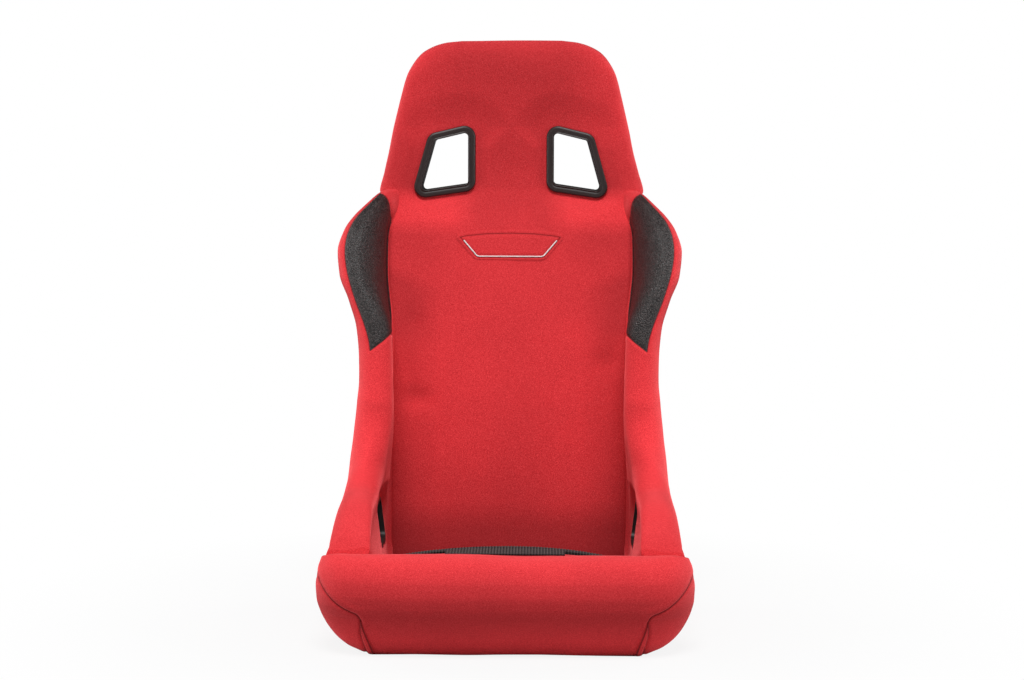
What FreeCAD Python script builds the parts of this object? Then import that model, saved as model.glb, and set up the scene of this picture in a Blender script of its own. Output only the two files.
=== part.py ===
import FreeCAD, Part
import math
import os
from FreeCAD import Placement, Rotation, Vector

# Fixed-back bucket seat for motor sport: a bent tube frame inside moulded foam
# and a fabric cover, with a cushion that lifts off.
# Frame of the part: X to the right, Y to the rear, Z up, millimetres.
# The origin is at floor level, in the middle of the overall length and width.

doc = FreeCAD.newDocument("bucket_seat")
sheet = doc.addObject("Spreadsheet::Sheet", "sizes")
sheet_rows = []


def size(name, value):
    """Write one driving dimension in the sheet and give it back as a number."""
    sheet_rows.append(name)
    cell = "B" + str(len(sheet_rows))
    sheet.set("A" + str(len(sheet_rows)), name)
    sheet.set(cell, str(value))
    sheet.setAlias(cell, name)
    return float(value)


# Overall form.
inner_half = size("inner_half", 190.0)
floor_gap = size("floor_gap", 2.0)
shoulder_level = size("shoulder_level", 655.0)
top_level = size("top_level", 900.0)
foam_depth = size("foam_depth", 60.0)
cover_thick = size("cover_thick", 2.0)
foam_gap = size("foam_gap", 0.3)
concave_half = size("concave_half", 205.0)

# The front face of the back and head, on the middle plane: height and Y.
back_levels = ("base", "hip", "seatline", "loin", "waist", "ribs", "chest", "armpit",
               "shoulder", "collar", "neck", "nape", "temple", "brow", "crown", "tip")
back_z = [size("level_" + n, v) for n, v in zip(back_levels, (
    2, 60, 130, 220, 320, 420, 500, 560, 600, 635, 665, 700, 760, 820, 870, 900))]
back_y = [size("front_" + n, v) for n, v in zip(back_levels, (
    104, 104, 112, 122, 134, 155, 176, 195, 211, 230, 242, 246, 243, 237, 230, 225))]
# How far the face comes forward at the reference half width.
back_wrap = [size("wrap_" + n, v) for n, v in zip(back_levels, (
    8, 8, 8, 8, 8, 8, 8, 12, 18, 26, 32, 36, 38, 37, 33, 28))]

# Side bolsters.
# Stations up the back, in level planes: height, half width at the widest,
# rise of the ridge from the crease, half width low on the outside, and the
# half width where the outside meets the rear face.
wing_names = ("root", "flare", "upper", "full", "broad", "middle", "lower", "narrow",
              "slim", "loins")
wing_z = [size("wing_level_" + n, v) for n, v in zip(wing_names, (
    655, 640, 620, 595, 565, 530, 490, 450, 400, 360))]
wing_half = [size("wing_half_" + n, v) for n, v in zip(wing_names, (
    214, 234, 250, 264, 273, 270, 255, 243, 236, 236))]
wing_rise = [size("wing_rise_" + n, v) for n, v in zip(wing_names, (
    24, 46, 70, 92, 106, 115, 119, 117, 112, 110))]
wing_low = [size("wing_low_" + n, v) for n, v in zip(wing_names, (
    209, 222, 232, 240, 244, 243, 238, 234, 230, 231))]
wing_foot = [size("wing_foot_" + n, v) for n, v in zip(wing_names, (
    200, 205, 210, 214, 216, 216, 214, 214, 214, 214))]

# The bend at the hip: planes that fan about one line across the seat.
fan_y = size("fan_y", -68.0)
fan_z = size("fan_z", 330.0)
fan_names = ("start", "first", "second", "corner", "third", "end")
fan_angle = [size("fan_angle_" + n, v) for n, v in zip(fan_names, (
    0, -20, -40, -56, -72, -90))]
fan_half = [size("fan_half_" + n, v) for n, v in zip(fan_names, (
    238, 240, 242, 244, 246, 248))]
fan_ridge = [size("fan_ridge_" + n, v) for n, v in zip(fan_names, (
    86, 86, 88, 92, 100, 114))]
fan_low = [size("fan_low_" + n, v) for n, v in zip(fan_names, (
    235, 240, 244, 245, 246, 246))]
# Rounding of the crease and of the outer shell in the corner of the bend.
fan_ease = [size("fan_ease_" + n, v) for n, v in zip(fan_names, (0, 0, 0, 12, 0, 0))]
fan_lift = [size("fan_lift_" + n, v) for n, v in zip(fan_names, (0, 0, 0, 6, 3, 0))]
fan_foot = [size("fan_foot_" + n, v) for n, v in zip(fan_names, (
    215, 217, 220, 224, 230, 236))]

# The thigh bolsters, in upright planes across the seat.
thigh_names = ("back", "front", "nose")
thigh_y = [size("thigh_y_" + n, v) for n, v in zip(thigh_names, (-118, -168, -213))]
thigh_top = [size("thigh_top_" + n, v) for n, v in zip(thigh_names, (206, 180, 154))]
thigh_half = [size("thigh_half_" + n, v) for n, v in zip(thigh_names, (252, 258, 264))]
thigh_low = [size("thigh_low_" + n, v) for n, v in zip(thigh_names, (247, 248, 269))]
thigh_foot = [size("thigh_foot_" + n, v) for n, v in zip(thigh_names, (234, 228, 215))]

# Removable cushion and the wedge below it.
pad_rear_y = size("pad_rear_y", 104.0)
pad_front_y = size("pad_front_y", -213.0)
pad_rear_z = size("pad_rear_z", 76.0)
pad_front_z = size("pad_front_z", 135.0)
pad_crown = size("pad_crown", 14.0)
pad_depth = size("pad_depth", 32.0)
pad_gap = size("pad_gap", 1.5)
pad_skin = size("pad_skin", 2.5)
tape_space = size("tape_space", 2.0)
tape_thick = size("tape_thick", 0.95)
tongue_half = size("tongue_half", 92.0)
tongue_reach = size("tongue_reach", 26.0)
tongue_thick = size("tongue_thick", 2.5)

# Front roll.
roll_rear_y = pad_front_y
roll_names = ("hem", "toe", "low", "shin", "under", "edge", "bulge", "face",
              "swell", "brim", "lip", "top")
roll_z = [size("roll_level_" + n, v) for n, v in zip(roll_names, (
    2, 12, 28, 46, 63, 80, 97, 114, 129, 140, 146, 149))]
roll_half = [size("roll_half_" + n, v) for n, v in zip(roll_names, (
    215, 233, 249, 260, 267, 270, 270, 268, 264, 260, 255, 249))]
roll_y = [size("roll_front_" + n, v) for n, v in zip(roll_names, (
    -251, -260, -272, -285, -296, -304, -308, -306, -298, -287, -275, -262))]

# Tube frame.
tube_radius = size("tube_radius", 12.5)
tube_bore = size("tube_bore", 11.0)
side_radius = size("side_radius", 11.0)
side_bore = size("side_bore", 9.5)
ring_half = size("ring_half", 205.0)
ring_front = size("ring_front", -236.0)
ring_rear = size("ring_rear", 140.0)
ring_corner_front = size("ring_corner_front", 80.0)
ring_corner_rear = size("ring_corner_rear", 60.0)
hoop_half = size("hoop_half", 172.0)
hoop_set = size("hoop_set", 31.0)
hoop_bend = size("hoop_bend", 55.0)
side_bend = size("side_bend", 45.0)

# Side mounts.
mount_spacing = size("mount_spacing", 290.0)
mount_rear_y = size("mount_rear_y", 132.0)
mount_z = size("mount_z", 72.0)
mount_face = size("mount_face", 250.0)
mount_radius = size("mount_radius", 9.0)
mount_tap = size("mount_tap", 3.4)
plate_inner = size("plate_inner", 217.0)
plate_thick = size("plate_thick", 3.0)
plate_top = size("plate_top", 94.0)
plate_low = size("plate_low", 6.0)
plate_reach = size("plate_reach", 18.0)
eyelet_radius = size("eyelet_radius", 13.0)
eyelet_thick = size("eyelet_thick", 1.2)

# Harness and belt slots.
slot_in = size("slot_in", 70.0)
slot_out_low = size("slot_out_low", 147.0)
slot_out_high = size("slot_out_high", 124.0)
slot_z_in_high = size("slot_z_in_high", 751.0)
slot_z_out_high = size("slot_z_out_high", 738.0)
slot_z_in_low = size("slot_z_in_low", 667.0)
slot_z_out_low = size("slot_z_out_low", 656.0)
slot_round = size("slot_round", 6.0)
bezel_wall = size("bezel_wall", 2.5)
bezel_rim = size("bezel_rim", 10.5)
bezel_proud = size("bezel_proud", 3.0)
bezel_sunk = size("bezel_sunk", 2.5)
lap_y_front = size("lap_y_front", -18.0)
lap_y_rear = size("lap_y_rear", 68.0)
lap_z_low = size("lap_z_low", 116.0)
lap_z_high = size("lap_z_high", 176.0)
lap_round = size("lap_round", 12.0)
lap_rim = size("lap_rim", 7.0)
lap_inner = size("lap_inner", 197.9)
lap_lean = size("lap_lean", 0.12)
lap_outer = size("lap_outer", 249.5)
crotch_half = size("crotch_half", 36.0)
crotch_y_front = size("crotch_y_front", -97.0)
crotch_y_rear = size("crotch_y_rear", -61.0)

# Webbing.
strap_wide = size("strap_wide", 48.0)
strap_thick = size("strap_thick", 1.8)
hook_thick = size("hook_thick", 1.6)

doc.recompute()


# Helpers.
def blend(levels, values, at):
    """Smooth curve through the values, with no overshoot between them."""
    if at <= levels[0]:
        return values[0]
    if at >= levels[-1]:
        return values[-1]
    slopes = []
    steps = [(values[i + 1] - values[i]) / (levels[i + 1] - levels[i])
             for i in range(len(levels) - 1)]
    for i in range(len(levels)):
        if i == 0:
            slopes.append(steps[0])
        elif i == len(levels) - 1:
            slopes.append(steps[-1])
        elif steps[i - 1] * steps[i] <= 0:
            slopes.append(0.0)
        else:
            slopes.append(2 * steps[i - 1] * steps[i] / (steps[i - 1] + steps[i]))
    for i in range(len(levels) - 1):
        if at <= levels[i + 1]:
            span = levels[i + 1] - levels[i]
            u = (at - levels[i]) / span
            return ((2 * u ** 3 - 3 * u ** 2 + 1) * values[i]
                    + (u ** 3 - 2 * u ** 2 + u) * span * slopes[i]
                    + (3 * u ** 2 - 2 * u ** 3) * values[i + 1]
                    + (u ** 3 - u ** 2) * span * slopes[i + 1])
    return values[-1]


def front(x, z):
    """Y of the front face of the back and head."""
    wrap = blend(back_z, back_wrap, z)
    return blend(back_z, back_y, z) - wrap * (x / concave_half) ** 2


def depth(z):
    """Thickness of the back, drawn in at the bottom edge."""
    return blend([2, 20, 60, 900], [foam_depth - 22, foam_depth - 8, foam_depth, foam_depth], z)


def pad_side(y):
    """Height of the cushion at its side edges."""
    part = (pad_rear_y - y) / (pad_rear_y - pad_front_y)
    return pad_rear_z + part * (pad_front_z - pad_rear_z)


def feature(name, shape):
    item = doc.addObject("Part::Feature", name)
    item.Label = name
    item.Shape = shape
    item.Placement = Placement()
    return item


def curve(points):
    line = Part.BSplineCurve()
    line.interpolate(points)
    return line.toShape()


def straight(a, b):
    return Part.LineSegment(a, b).toShape()


def run(points, radius, closed=False):
    """Straight runs joined by tangent arcs."""
    count = len(points)
    corners = range(count) if closed else range(1, count - 1)
    starts = {}
    ends = {}
    arcs = {}
    for i in corners:
        a = points[i - 1]
        b = points[i]
        c = points[(i + 1) % count]
        u = (a - b).normalize()
        v = (c - b).normalize()
        turn = math.pi - u.getAngle(v)
        bend = radius[i] if isinstance(radius, (list, tuple)) else radius
        if turn < 0.002:
            starts[i] = b
            ends[i] = b
            continue
        reach = bend * math.tan(turn / 2)
        starts[i] = b + u * reach
        ends[i] = b + v * reach
        half = (u + v).normalize()
        middle = b + half * (bend / math.cos(turn / 2) - bend)
        arcs[i] = Part.Arc(starts[i], middle, ends[i]).toShape()
    edges = []
    if closed:
        for i in range(count):
            edges.append(straight(ends[(i - 1) % count], starts[i]))
            if i in arcs:
                edges.append(arcs[i])
    else:
        last = points[0]
        for i in corners:
            if (starts[i] - last).Length > 0.01:
                edges.append(straight(last, starts[i]))
            if i in arcs:
                edges.append(arcs[i])
            last = ends[i]
        edges.append(straight(last, points[-1]))
    return Part.Wire(edges)


def tube(name, points, bend, radius, radius_alias, closed=False):
    """A round bar along a path, its radius bound to the sheet."""
    path = run(points, bend, closed)
    spine = feature(name + "_path", path)
    edge = path.Edges[0]
    at = edge.valueAt(edge.FirstParameter)
    along = edge.tangentAt(edge.FirstParameter)
    ring = doc.addObject("Part::Circle", name + "_round")
    ring.Radius = radius
    ring.setExpression("Radius", "sizes." + radius_alias)
    ring.Placement = Placement(at, Rotation(Vector(0, 0, 1), along))
    sweep = doc.addObject("Part::Sweep", name)
    sweep.Sections = [ring]
    sweep.Spine = (spine, [])
    sweep.Solid = True
    sweep.Frenet = False
    doc.recompute()
    return sweep


def cut(name, base, tool):
    item = doc.addObject("Part::Cut", name)
    item.Base = base
    item.Tool = tool
    item.Label = name
    doc.recompute()
    return item


def mirrored(name, item):
    twin = doc.addObject("Part::Mirroring", name)
    twin.Source = item
    twin.Normal = Vector(1, 0, 0)
    twin.Base = Vector(0, 0, 0)
    twin.Label = name
    doc.recompute()
    return twin


def solid_of(shape):
    """One clean solid, or a compound of them where there are several."""
    solids = [s for s in shape.Solids if s.Volume > 20]
    if len(solids) == 1:
        return solids[0]
    return Part.makeCompound(solids)


nodes = []


def keep(item, label):
    item.Label = label
    nodes.append(item)
    return item


# Tube frame.
ring_points = [Vector(ring_half, ring_front, tube_radius),
               Vector(ring_half, ring_rear, tube_radius),
               Vector(-ring_half, ring_rear, tube_radius),
               Vector(-ring_half, ring_front, tube_radius)]
ring_bends = [ring_corner_front, ring_corner_rear, ring_corner_rear, ring_corner_front]
ring_bar = tube("ring_bar", ring_points, ring_bends, tube_radius, "tube_radius", True)
ring_core = tube("ring_core", ring_points, ring_bends, tube_bore, "tube_bore", True)
base_ring = keep(cut("base_ring_tube", ring_bar, ring_core), "base_ring")


def hoop_point(x, z):
    return Vector(x, front(abs(x), z) + hoop_set, z)


hoop_right = [Vector(hoop_half, ring_rear, tube_radius),
              Vector(hoop_half, ring_rear + 5, 130),
              hoop_point(hoop_half, 320),
              hoop_point(hoop_half, 500),
              hoop_point(hoop_half, 660),
              hoop_point(hoop_half - 7, 745),
              hoop_point(hoop_half - 37, 872)]
hoop_points = hoop_right + [Vector(-p.x, p.y, p.z) for p in reversed(hoop_right)]
hoop_bar = tube("hoop_bar", hoop_points, hoop_bend, tube_radius, "tube_radius")
hoop_core = tube("hoop_core", hoop_points, hoop_bend, tube_bore, "tube_bore")
hoop_coped = cut("hoop_coped", hoop_bar, ring_bar)
back_hoop = keep(cut("back_hoop_tube", hoop_coped, hoop_core), "back_hoop")

side_points = [Vector(ring_half, -80, tube_radius),
               Vector(217, -176, 138),
               Vector(226, -68, 190),
               Vector(224, 14, 222),
               Vector(218, 46, 310),
               Vector(215.5, 80, 400),
               Vector(238, 100, 540),
               Vector(219, 178, 606),
               hoop_point(hoop_half, 662)]
side_bar = tube("side_bar", side_points, side_bend, side_radius, "side_radius")
side_core = tube("side_core", side_points, side_bend, side_bore, "side_bore")
side_coped = cut("side_coped", cut("side_coped_low", side_bar, ring_bar), hoop_bar)
side_right = keep(cut("side_right_tube", side_coped, side_core), "side_tube_right")
side_left = keep(mirrored("side_left_tube", side_right), "side_tube_left")


def cross_tube(name, label, at):
    bar = doc.addObject("Part::Cylinder", name + "_bar")
    bar.setExpression("Radius", "sizes.side_radius")
    bar.setExpression("Height", "2 * sizes.hoop_half")
    bar.Placement = Placement(at, Rotation(Vector(0, 0, 1), Vector(1, 0, 0)))
    core = doc.addObject("Part::Cylinder", name + "_core")
    core.setExpression("Radius", "sizes.side_bore")
    core.setExpression("Height", "2 * sizes.hoop_half")
    core.Placement = bar.Placement
    coped = cut(name + "_coped", bar, hoop_bar)
    return bar, keep(cut(name + "_tube", coped, core), label)


loin_at = hoop_point(-hoop_half, 130)
loin_at.y = ring_rear + 5
loin_bar, loin_tube = cross_tube("loin", "cross_tube_lower", loin_at)
yoke_bar, yoke_tube = cross_tube("yoke", "cross_tube_upper", hoop_point(-hoop_half, 620))

# Side plates and mounting bushes.
mount_front_y = mount_rear_y - mount_spacing
plate = doc.addObject("Part::Box", "plate_blank")
plate.setExpression("Length", "sizes.plate_thick")
plate.setExpression("Width", "sizes.mount_spacing + 2 * sizes.plate_reach - 12")
plate.setExpression("Height", "sizes.plate_top - sizes.plate_low")
plate.Placement = Placement(Vector(plate_inner, mount_front_y - plate_reach, plate_low),
                            Rotation())
doc.recompute()
bush_length = mount_face - plate_inner
bush_solids = []
tap_solids = []
eyelet_solids = []
for side in (1, -1):
    for along in (mount_front_y, mount_rear_y):
        start = Vector(side * plate_inner, along, mount_z)
        out = Vector(side, 0, 0)
        body = Part.makeCylinder(mount_radius, bush_length, start, out)
        bore = Part.makeCylinder(mount_tap, bush_length, start, out)
        bush_solids.append(body.cut(bore))
        tap_solids.append(body)
plate_shape = plate.Shape.cut(ring_bar.Shape).cut(side_bar.Shape)
for body in tap_solids[:2]:
    plate_shape = plate_shape.cut(body)
bushes = keep(feature("bushes", Part.makeCompound(bush_solids)), "mount_bushes")

# Seat webbing on the base ring, and straps across the back.
strap_solids = []
hook_solids = []
strap_low = 2 * tube_radius + hook_thick
for along in (-134.0, -22.0, 36.0):
    strap_solids.append(Part.makeBox(2 * (ring_half - 12), strap_wide, strap_thick,
                                     Vector(-(ring_half - 12), along - strap_wide / 2, strap_low)))
    for side in (1, -1):
        centre = Vector(side * ring_half, along - strap_wide / 2 + 4, tube_radius)
        shell = Part.makeCylinder(tube_radius + hook_thick, strap_wide - 8, centre, Vector(0, 1, 0))
        shell = shell.cut(Part.makeCylinder(tube_radius, strap_wide - 8, centre, Vector(0, 1, 0)))
        box_x = ring_half - 20 if side > 0 else -ring_half - 9
        keep_box = Part.makeBox(29, strap_wide, 30,
                                Vector(box_x, along - strap_wide / 2, tube_radius - 3))
        shell = shell.common(keep_box)
        inner_x = ring_half - 32
        tab = Part.makeBox(32, strap_wide - 8, hook_thick,
                           Vector(inner_x if side > 0 else -ring_half,
                                  along - strap_wide / 2 + 4, 2 * tube_radius))
        hook_solids.append(shell.fuse(tab).removeSplitter())
straps_low = keep(feature("straps_low", Part.makeCompound(strap_solids)), "seat_webbing")
hooks = keep(feature("hooks", Part.makeCompound(hook_solids)), "webbing_hooks")
back_straps = []
for level in (215.0, 300.0, 385.0, 470.0):
    at = hoop_point(hoop_half, level)
    above = hoop_point(hoop_half, level + 20)
    lean = math.degrees(math.atan2(above.y - at.y, 20))
    band = Part.makeBox(2 * hoop_half, strap_thick, strap_wide,
                        Vector(-hoop_half, -tube_radius - strap_thick - 0.6, -strap_wide / 2))
    band.Placement = Placement(Vector(0, at.y, level), Rotation(Vector(1, 0, 0), -lean))
    back_straps.append(band)
straps_back = keep(feature("straps_back", Part.makeCompound(back_straps)), "back_webbing")

# Back: foam between a front skin and a rear skin.
side_steps = [-inner_half, -130.0, -65.0, 0.0, 65.0, 130.0, inner_half]


def back_layer(near, far, low, high):
    """The back between two depths below its front face, cut between two levels."""
    levels = [low] + [z for z in back_z if low + 8 < z < high - 8] + [high]
    sections = []
    for x in side_steps:
        fore = [Vector(x, front(x, z) + near(z), z) for z in levels]
        aft = [Vector(x, front(x, z) + far(z), z) for z in levels]
        sections.append(Part.Wire([curve(fore), straight(fore[-1], aft[-1]),
                                   curve(list(reversed(aft))), straight(aft[0], fore[0])]))
    return Part.makeLoft(sections, True, False)


frame_bars = [ring_bar.Shape, hoop_bar.Shape, side_bar.Shape, loin_bar.Shape, yoke_bar.Shape]
side_bar_left = side_bar.Shape.mirror(Vector(0, 0, 0), Vector(1, 0, 0))
frame_bars.append(side_bar_left)
back_whole = back_layer(lambda z: 0.0, depth, floor_gap, shoulder_level)
back_front_skin = back_layer(lambda z: 0.0, lambda z: cover_thick, floor_gap, shoulder_level)
back_rear_skin = back_layer(lambda z: depth(z) - cover_thick, depth, floor_gap, shoulder_level)
back_core = back_layer(lambda z: cover_thick, lambda z: depth(z) - cover_thick, floor_gap,
                       shoulder_level)


def clear(shape, tools):
    """Cut each tool that comes near the shape."""
    for tool in tools:
        if shape.BoundBox.intersect(tool.BoundBox):
            shape = shape.cut(tool)
    return shape



# Head: level sections with rounded edges.
head_names = ("joint", "cheek", "jaw", "slotmid", "slottop", "side", "arc", "bend",
              "round", "shoulder", "top", "tip")
head_z = [size("head_level_" + n, v) for n, v in zip(head_names, (
    655, 670, 690, 720, 760, 805, 843, 862, 879, 890, 897, 900))]
head_half = [size("head_half_" + n, v) for n, v in zip(head_names, (
    205, 208, 208, 201, 192, 182, 172, 162, 148, 130, 108, 84))]
head_thick = [size("head_thick_" + n, v) for n, v in zip(head_names, (
    60, 60, 60, 60, 60, 60, 59, 56, 49, 39, 26, 12))]
doc.recompute()


def head_section(z, half, thick, inset):
    """A closed curve round the head at one level."""
    half = half - inset
    reach = thick / 2 - inset
    marks = ((0.0, 1.0), (0.3, 1.0), (0.58, 1.0), (0.8, 0.99), (0.92, 0.86), (0.98, 0.5),
             (1.0, 0.0), (0.98, -0.5), (0.92, -0.86), (0.8, -0.99), (0.58, -1.0), (0.3, -1.0))
    right = []
    for part, side in marks:
        x = half * part
        right.append(Vector(x, front(x, z) + foam_depth / 2 - reach * side, z))
    rear = Vector(0, front(0, z) + foam_depth / 2 + reach, z)
    left = [Vector(-p.x, p.y, p.z) for p in reversed(right[1:])]
    points = right + [rear] + left
    line = Part.BSplineCurve()
    line.interpolate(points, True)
    return Part.Wire([line.toShape()])


doc.recompute()
head_outer = Part.makeLoft([head_section(z, a, b, 0.0) for z, a, b in
                            zip(head_z, head_half, head_thick)], True, False)
inner_levels = list(head_z[:-2]) + [head_z[-1] - cover_thick]
inner_half_list = list(head_half[:-2]) + [head_half[-1] + 6]
inner_thick_list = list(head_thick[:-2]) + [head_thick[-1] + 5]
head_inner = Part.makeLoft([head_section(z, a, b, cover_thick) for z, a, b in
                            zip(inner_levels, inner_half_list, inner_thick_list)], True, False)

# Harness slots: tilted to follow the head.
slot_outline = ((slot_in, slot_z_in_high), (slot_out_high, slot_z_out_high),
                (slot_out_low, slot_z_out_low), (slot_in, slot_z_in_low))
slot_cx = sum(p[0] for p in slot_outline) / 4
slot_cz = sum(p[1] for p in slot_outline) / 4
slope_x = (front(slot_cx + 30, slot_cz) - front(slot_cx - 30, slot_cz)) / 60
slope_z = (front(slot_cx, slot_cz + 30) - front(slot_cx, slot_cz - 30)) / 60
# The passage runs straight to the rear in plan, so that it stays open from the front.
slot_normal = Vector(0, -1, slope_z).normalize()


def grown(outline, grow):
    """The outline moved out all round by one distance."""
    count = len(outline)
    lines = []
    for i in range(count):
        a = outline[i]
        b = outline[(i + 1) % count]
        dx = b[0] - a[0]
        dz = b[1] - a[1]
        length = math.hypot(dx, dz)
        nx = dz / length
        nz = -dx / length
        middle = (sum(p[0] for p in outline) / count, sum(p[1] for p in outline) / count)
        if (a[0] - middle[0]) * nx + (a[1] - middle[1]) * nz < 0:
            nx = -nx
            nz = -nz
        lines.append((a[0] + nx * grow, a[1] + nz * grow, dx, dz))
    result = []
    for i in range(count):
        ax, az, adx, adz = lines[i - 1]
        bx, bz, bdx, bdz = lines[i]
        det = adx * bdz - adz * bdx
        u = ((bx - ax) * bdz - (bz - az) * bdx) / det
        result.append((ax + adx * u, az + adz * u))
    return result


def slot_prism(grow, rounding, start, end):
    """The slot outline, on the local slope of the head, pushed to the rear between two depths."""
    points = []
    for x, z in grown(slot_outline, grow):
        y = front(slot_cx, slot_cz) + slope_x * (x - slot_cx) + slope_z * (z - slot_cz)
        points.append(Vector(x, y, z) - slot_normal * start)
    face = Part.Face(run(points, rounding, True))
    return face.extrude(slot_normal * -(end - start))


slot_open = slot_prism(0.0, slot_round, -12.0, foam_depth + 14)
slot_sleeve = slot_prism(bezel_wall, slot_round + bezel_wall, bezel_sunk, foam_depth - bezel_sunk)
rim_front = slot_prism(bezel_rim, slot_round + bezel_rim, -bezel_proud, bezel_sunk)
rim_rear = slot_prism(bezel_rim, slot_round + bezel_rim, foam_depth - bezel_sunk,
                      foam_depth + bezel_proud)
rim_front_clear = slot_prism(bezel_rim, slot_round + bezel_rim, -bezel_proud - 8, bezel_sunk)
rim_rear_clear = slot_prism(bezel_rim, slot_round + bezel_rim, foam_depth - bezel_sunk,
                            foam_depth + bezel_proud + 8)
split = slot_prism(bezel_rim + 5, slot_round + bezel_rim, -20.0, foam_depth / 2)
bezel_all = slot_sleeve.fuse(rim_front).fuse(rim_rear).cut(slot_open).removeSplitter()
bezel_front = solid_of(bezel_all.common(split))
bezel_rear = solid_of(bezel_all.cut(split))
slot_tools = []
for tool in (slot_sleeve, rim_front_clear, rim_rear_clear, slot_open):
    slot_tools.append(tool)
    slot_tools.append(tool.mirror(Vector(0, 0, 0), Vector(1, 0, 0)))
bezel_front_right = keep(feature("bezel_front_r", bezel_front), "shoulder_bezel_right")
bezel_front_left = keep(mirrored("bezel_front_l", bezel_front_right), "shoulder_bezel_left")
bezel_rear_right = keep(feature("bezel_rear_r", bezel_rear), "rear_bezel_right")
bezel_rear_left = keep(mirrored("bezel_rear_l", bezel_rear_right), "rear_bezel_left")

back_core = clear(back_core, frame_bars + [straps_back.Shape] + slot_tools)
back_front_skin = clear(back_front_skin, frame_bars + slot_tools)
back_rear_skin = clear(back_rear_skin, frame_bars + slot_tools)
keep(feature("back_core", solid_of(back_core)), "back_foam")
keep(feature("back_front_skin", solid_of(back_front_skin)), "back_cover")
keep(feature("back_rear_skin", solid_of(back_rear_skin)), "rear_cover")

head_skin = head_outer.cut(head_inner)
head_core = clear(head_inner.copy(), frame_bars)
head_core = clear(head_core, slot_tools)
head_skin = clear(head_skin, slot_tools)
head_skin = clear(head_skin, frame_bars)
keep(feature("head_core", solid_of(head_core)), "head_foam")
keep(feature("head_skin", solid_of(head_skin)), "head_cover")


# Bolster sections.
def outline(half, ridge, rise, low, foot, back, kind):
    """Outward offset and height above the crease, from the crease round to the rear.
    kind runs from 0 on the back to 1 on the thigh."""
    def mix(a, b):
        return a + (b - a) * kind
    top = ridge - inner_half
    return [(inner_half, 0.0),
            (inner_half + mix(0.10, 0.42) * top, 0.30 * rise),
            (inner_half + mix(0.36, 0.60) * top, 0.66 * rise),
            (inner_half + mix(0.70, 0.80) * top, 0.91 * rise),
            (ridge, rise),
            (ridge + 0.55 * (half - ridge), 0.93 * rise),
            (ridge + 0.91 * (half - ridge), 0.74 * rise),
            (half, 0.46 * rise),
            (0.5 * (half + low), -0.02 * back),
            (low, -0.40 * back),
            (low - mix(8.0, 3.0), -0.74 * back),
            (foot + 0.56 * (low - foot), -0.94 * back),
            (foot, -back)]


def inset(points, amount):
    """The outline moved in by the cover's thickness, its ends kept on their planes."""
    result = []
    count = len(points)
    for i in range(count):
        if i == 0:
            result.append((points[0][0], points[0][1] - amount))
            continue
        if i == count - 1:
            result.append((points[i][0] - amount * 0.6, points[i][1] + amount))
            continue
        ax, ad = points[i - 1]
        bx, bd = points[i + 1]
        length = math.hypot(bx - ax, bd - ad)
        nx = (bd - ad) / length
        nd = -(bx - ax) / length
        result.append((points[i][0] + nx * amount, points[i][1] + nd * amount))
    return result


def crease_reach(angle):
    """Distance from the fan line to the crease, along one fan plane."""
    dy = math.cos(math.radians(angle))
    dz = math.sin(math.radians(angle))
    reach = 60.0
    while reach < 500:
        y = fan_y + dy * reach
        z = fan_z + dz * reach
        if y > front(inner_half, z) or z < pad_side(min(y, pad_rear_y)):
            return reach
        reach = reach + 0.05
    return reach


def shell_reach(angle):
    """Distance from the fan line to the outer shell, along one fan plane."""
    dy = math.cos(math.radians(angle))
    dz = math.sin(math.radians(angle))
    reach = 120.0
    while reach < 600:
        y = fan_y + dy * reach
        z = fan_z + dz * reach
        if z < floor_gap or y > front(inner_half, z) + depth(z):
            return reach
        reach = reach + 0.05
    return reach


fan_top = fan_z - fan_ridge[-1]
thigh_steps = (-86.0, -104.0, -122.0, -140.0, -158.0, -176.0, -195.0, -213.0)


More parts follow.
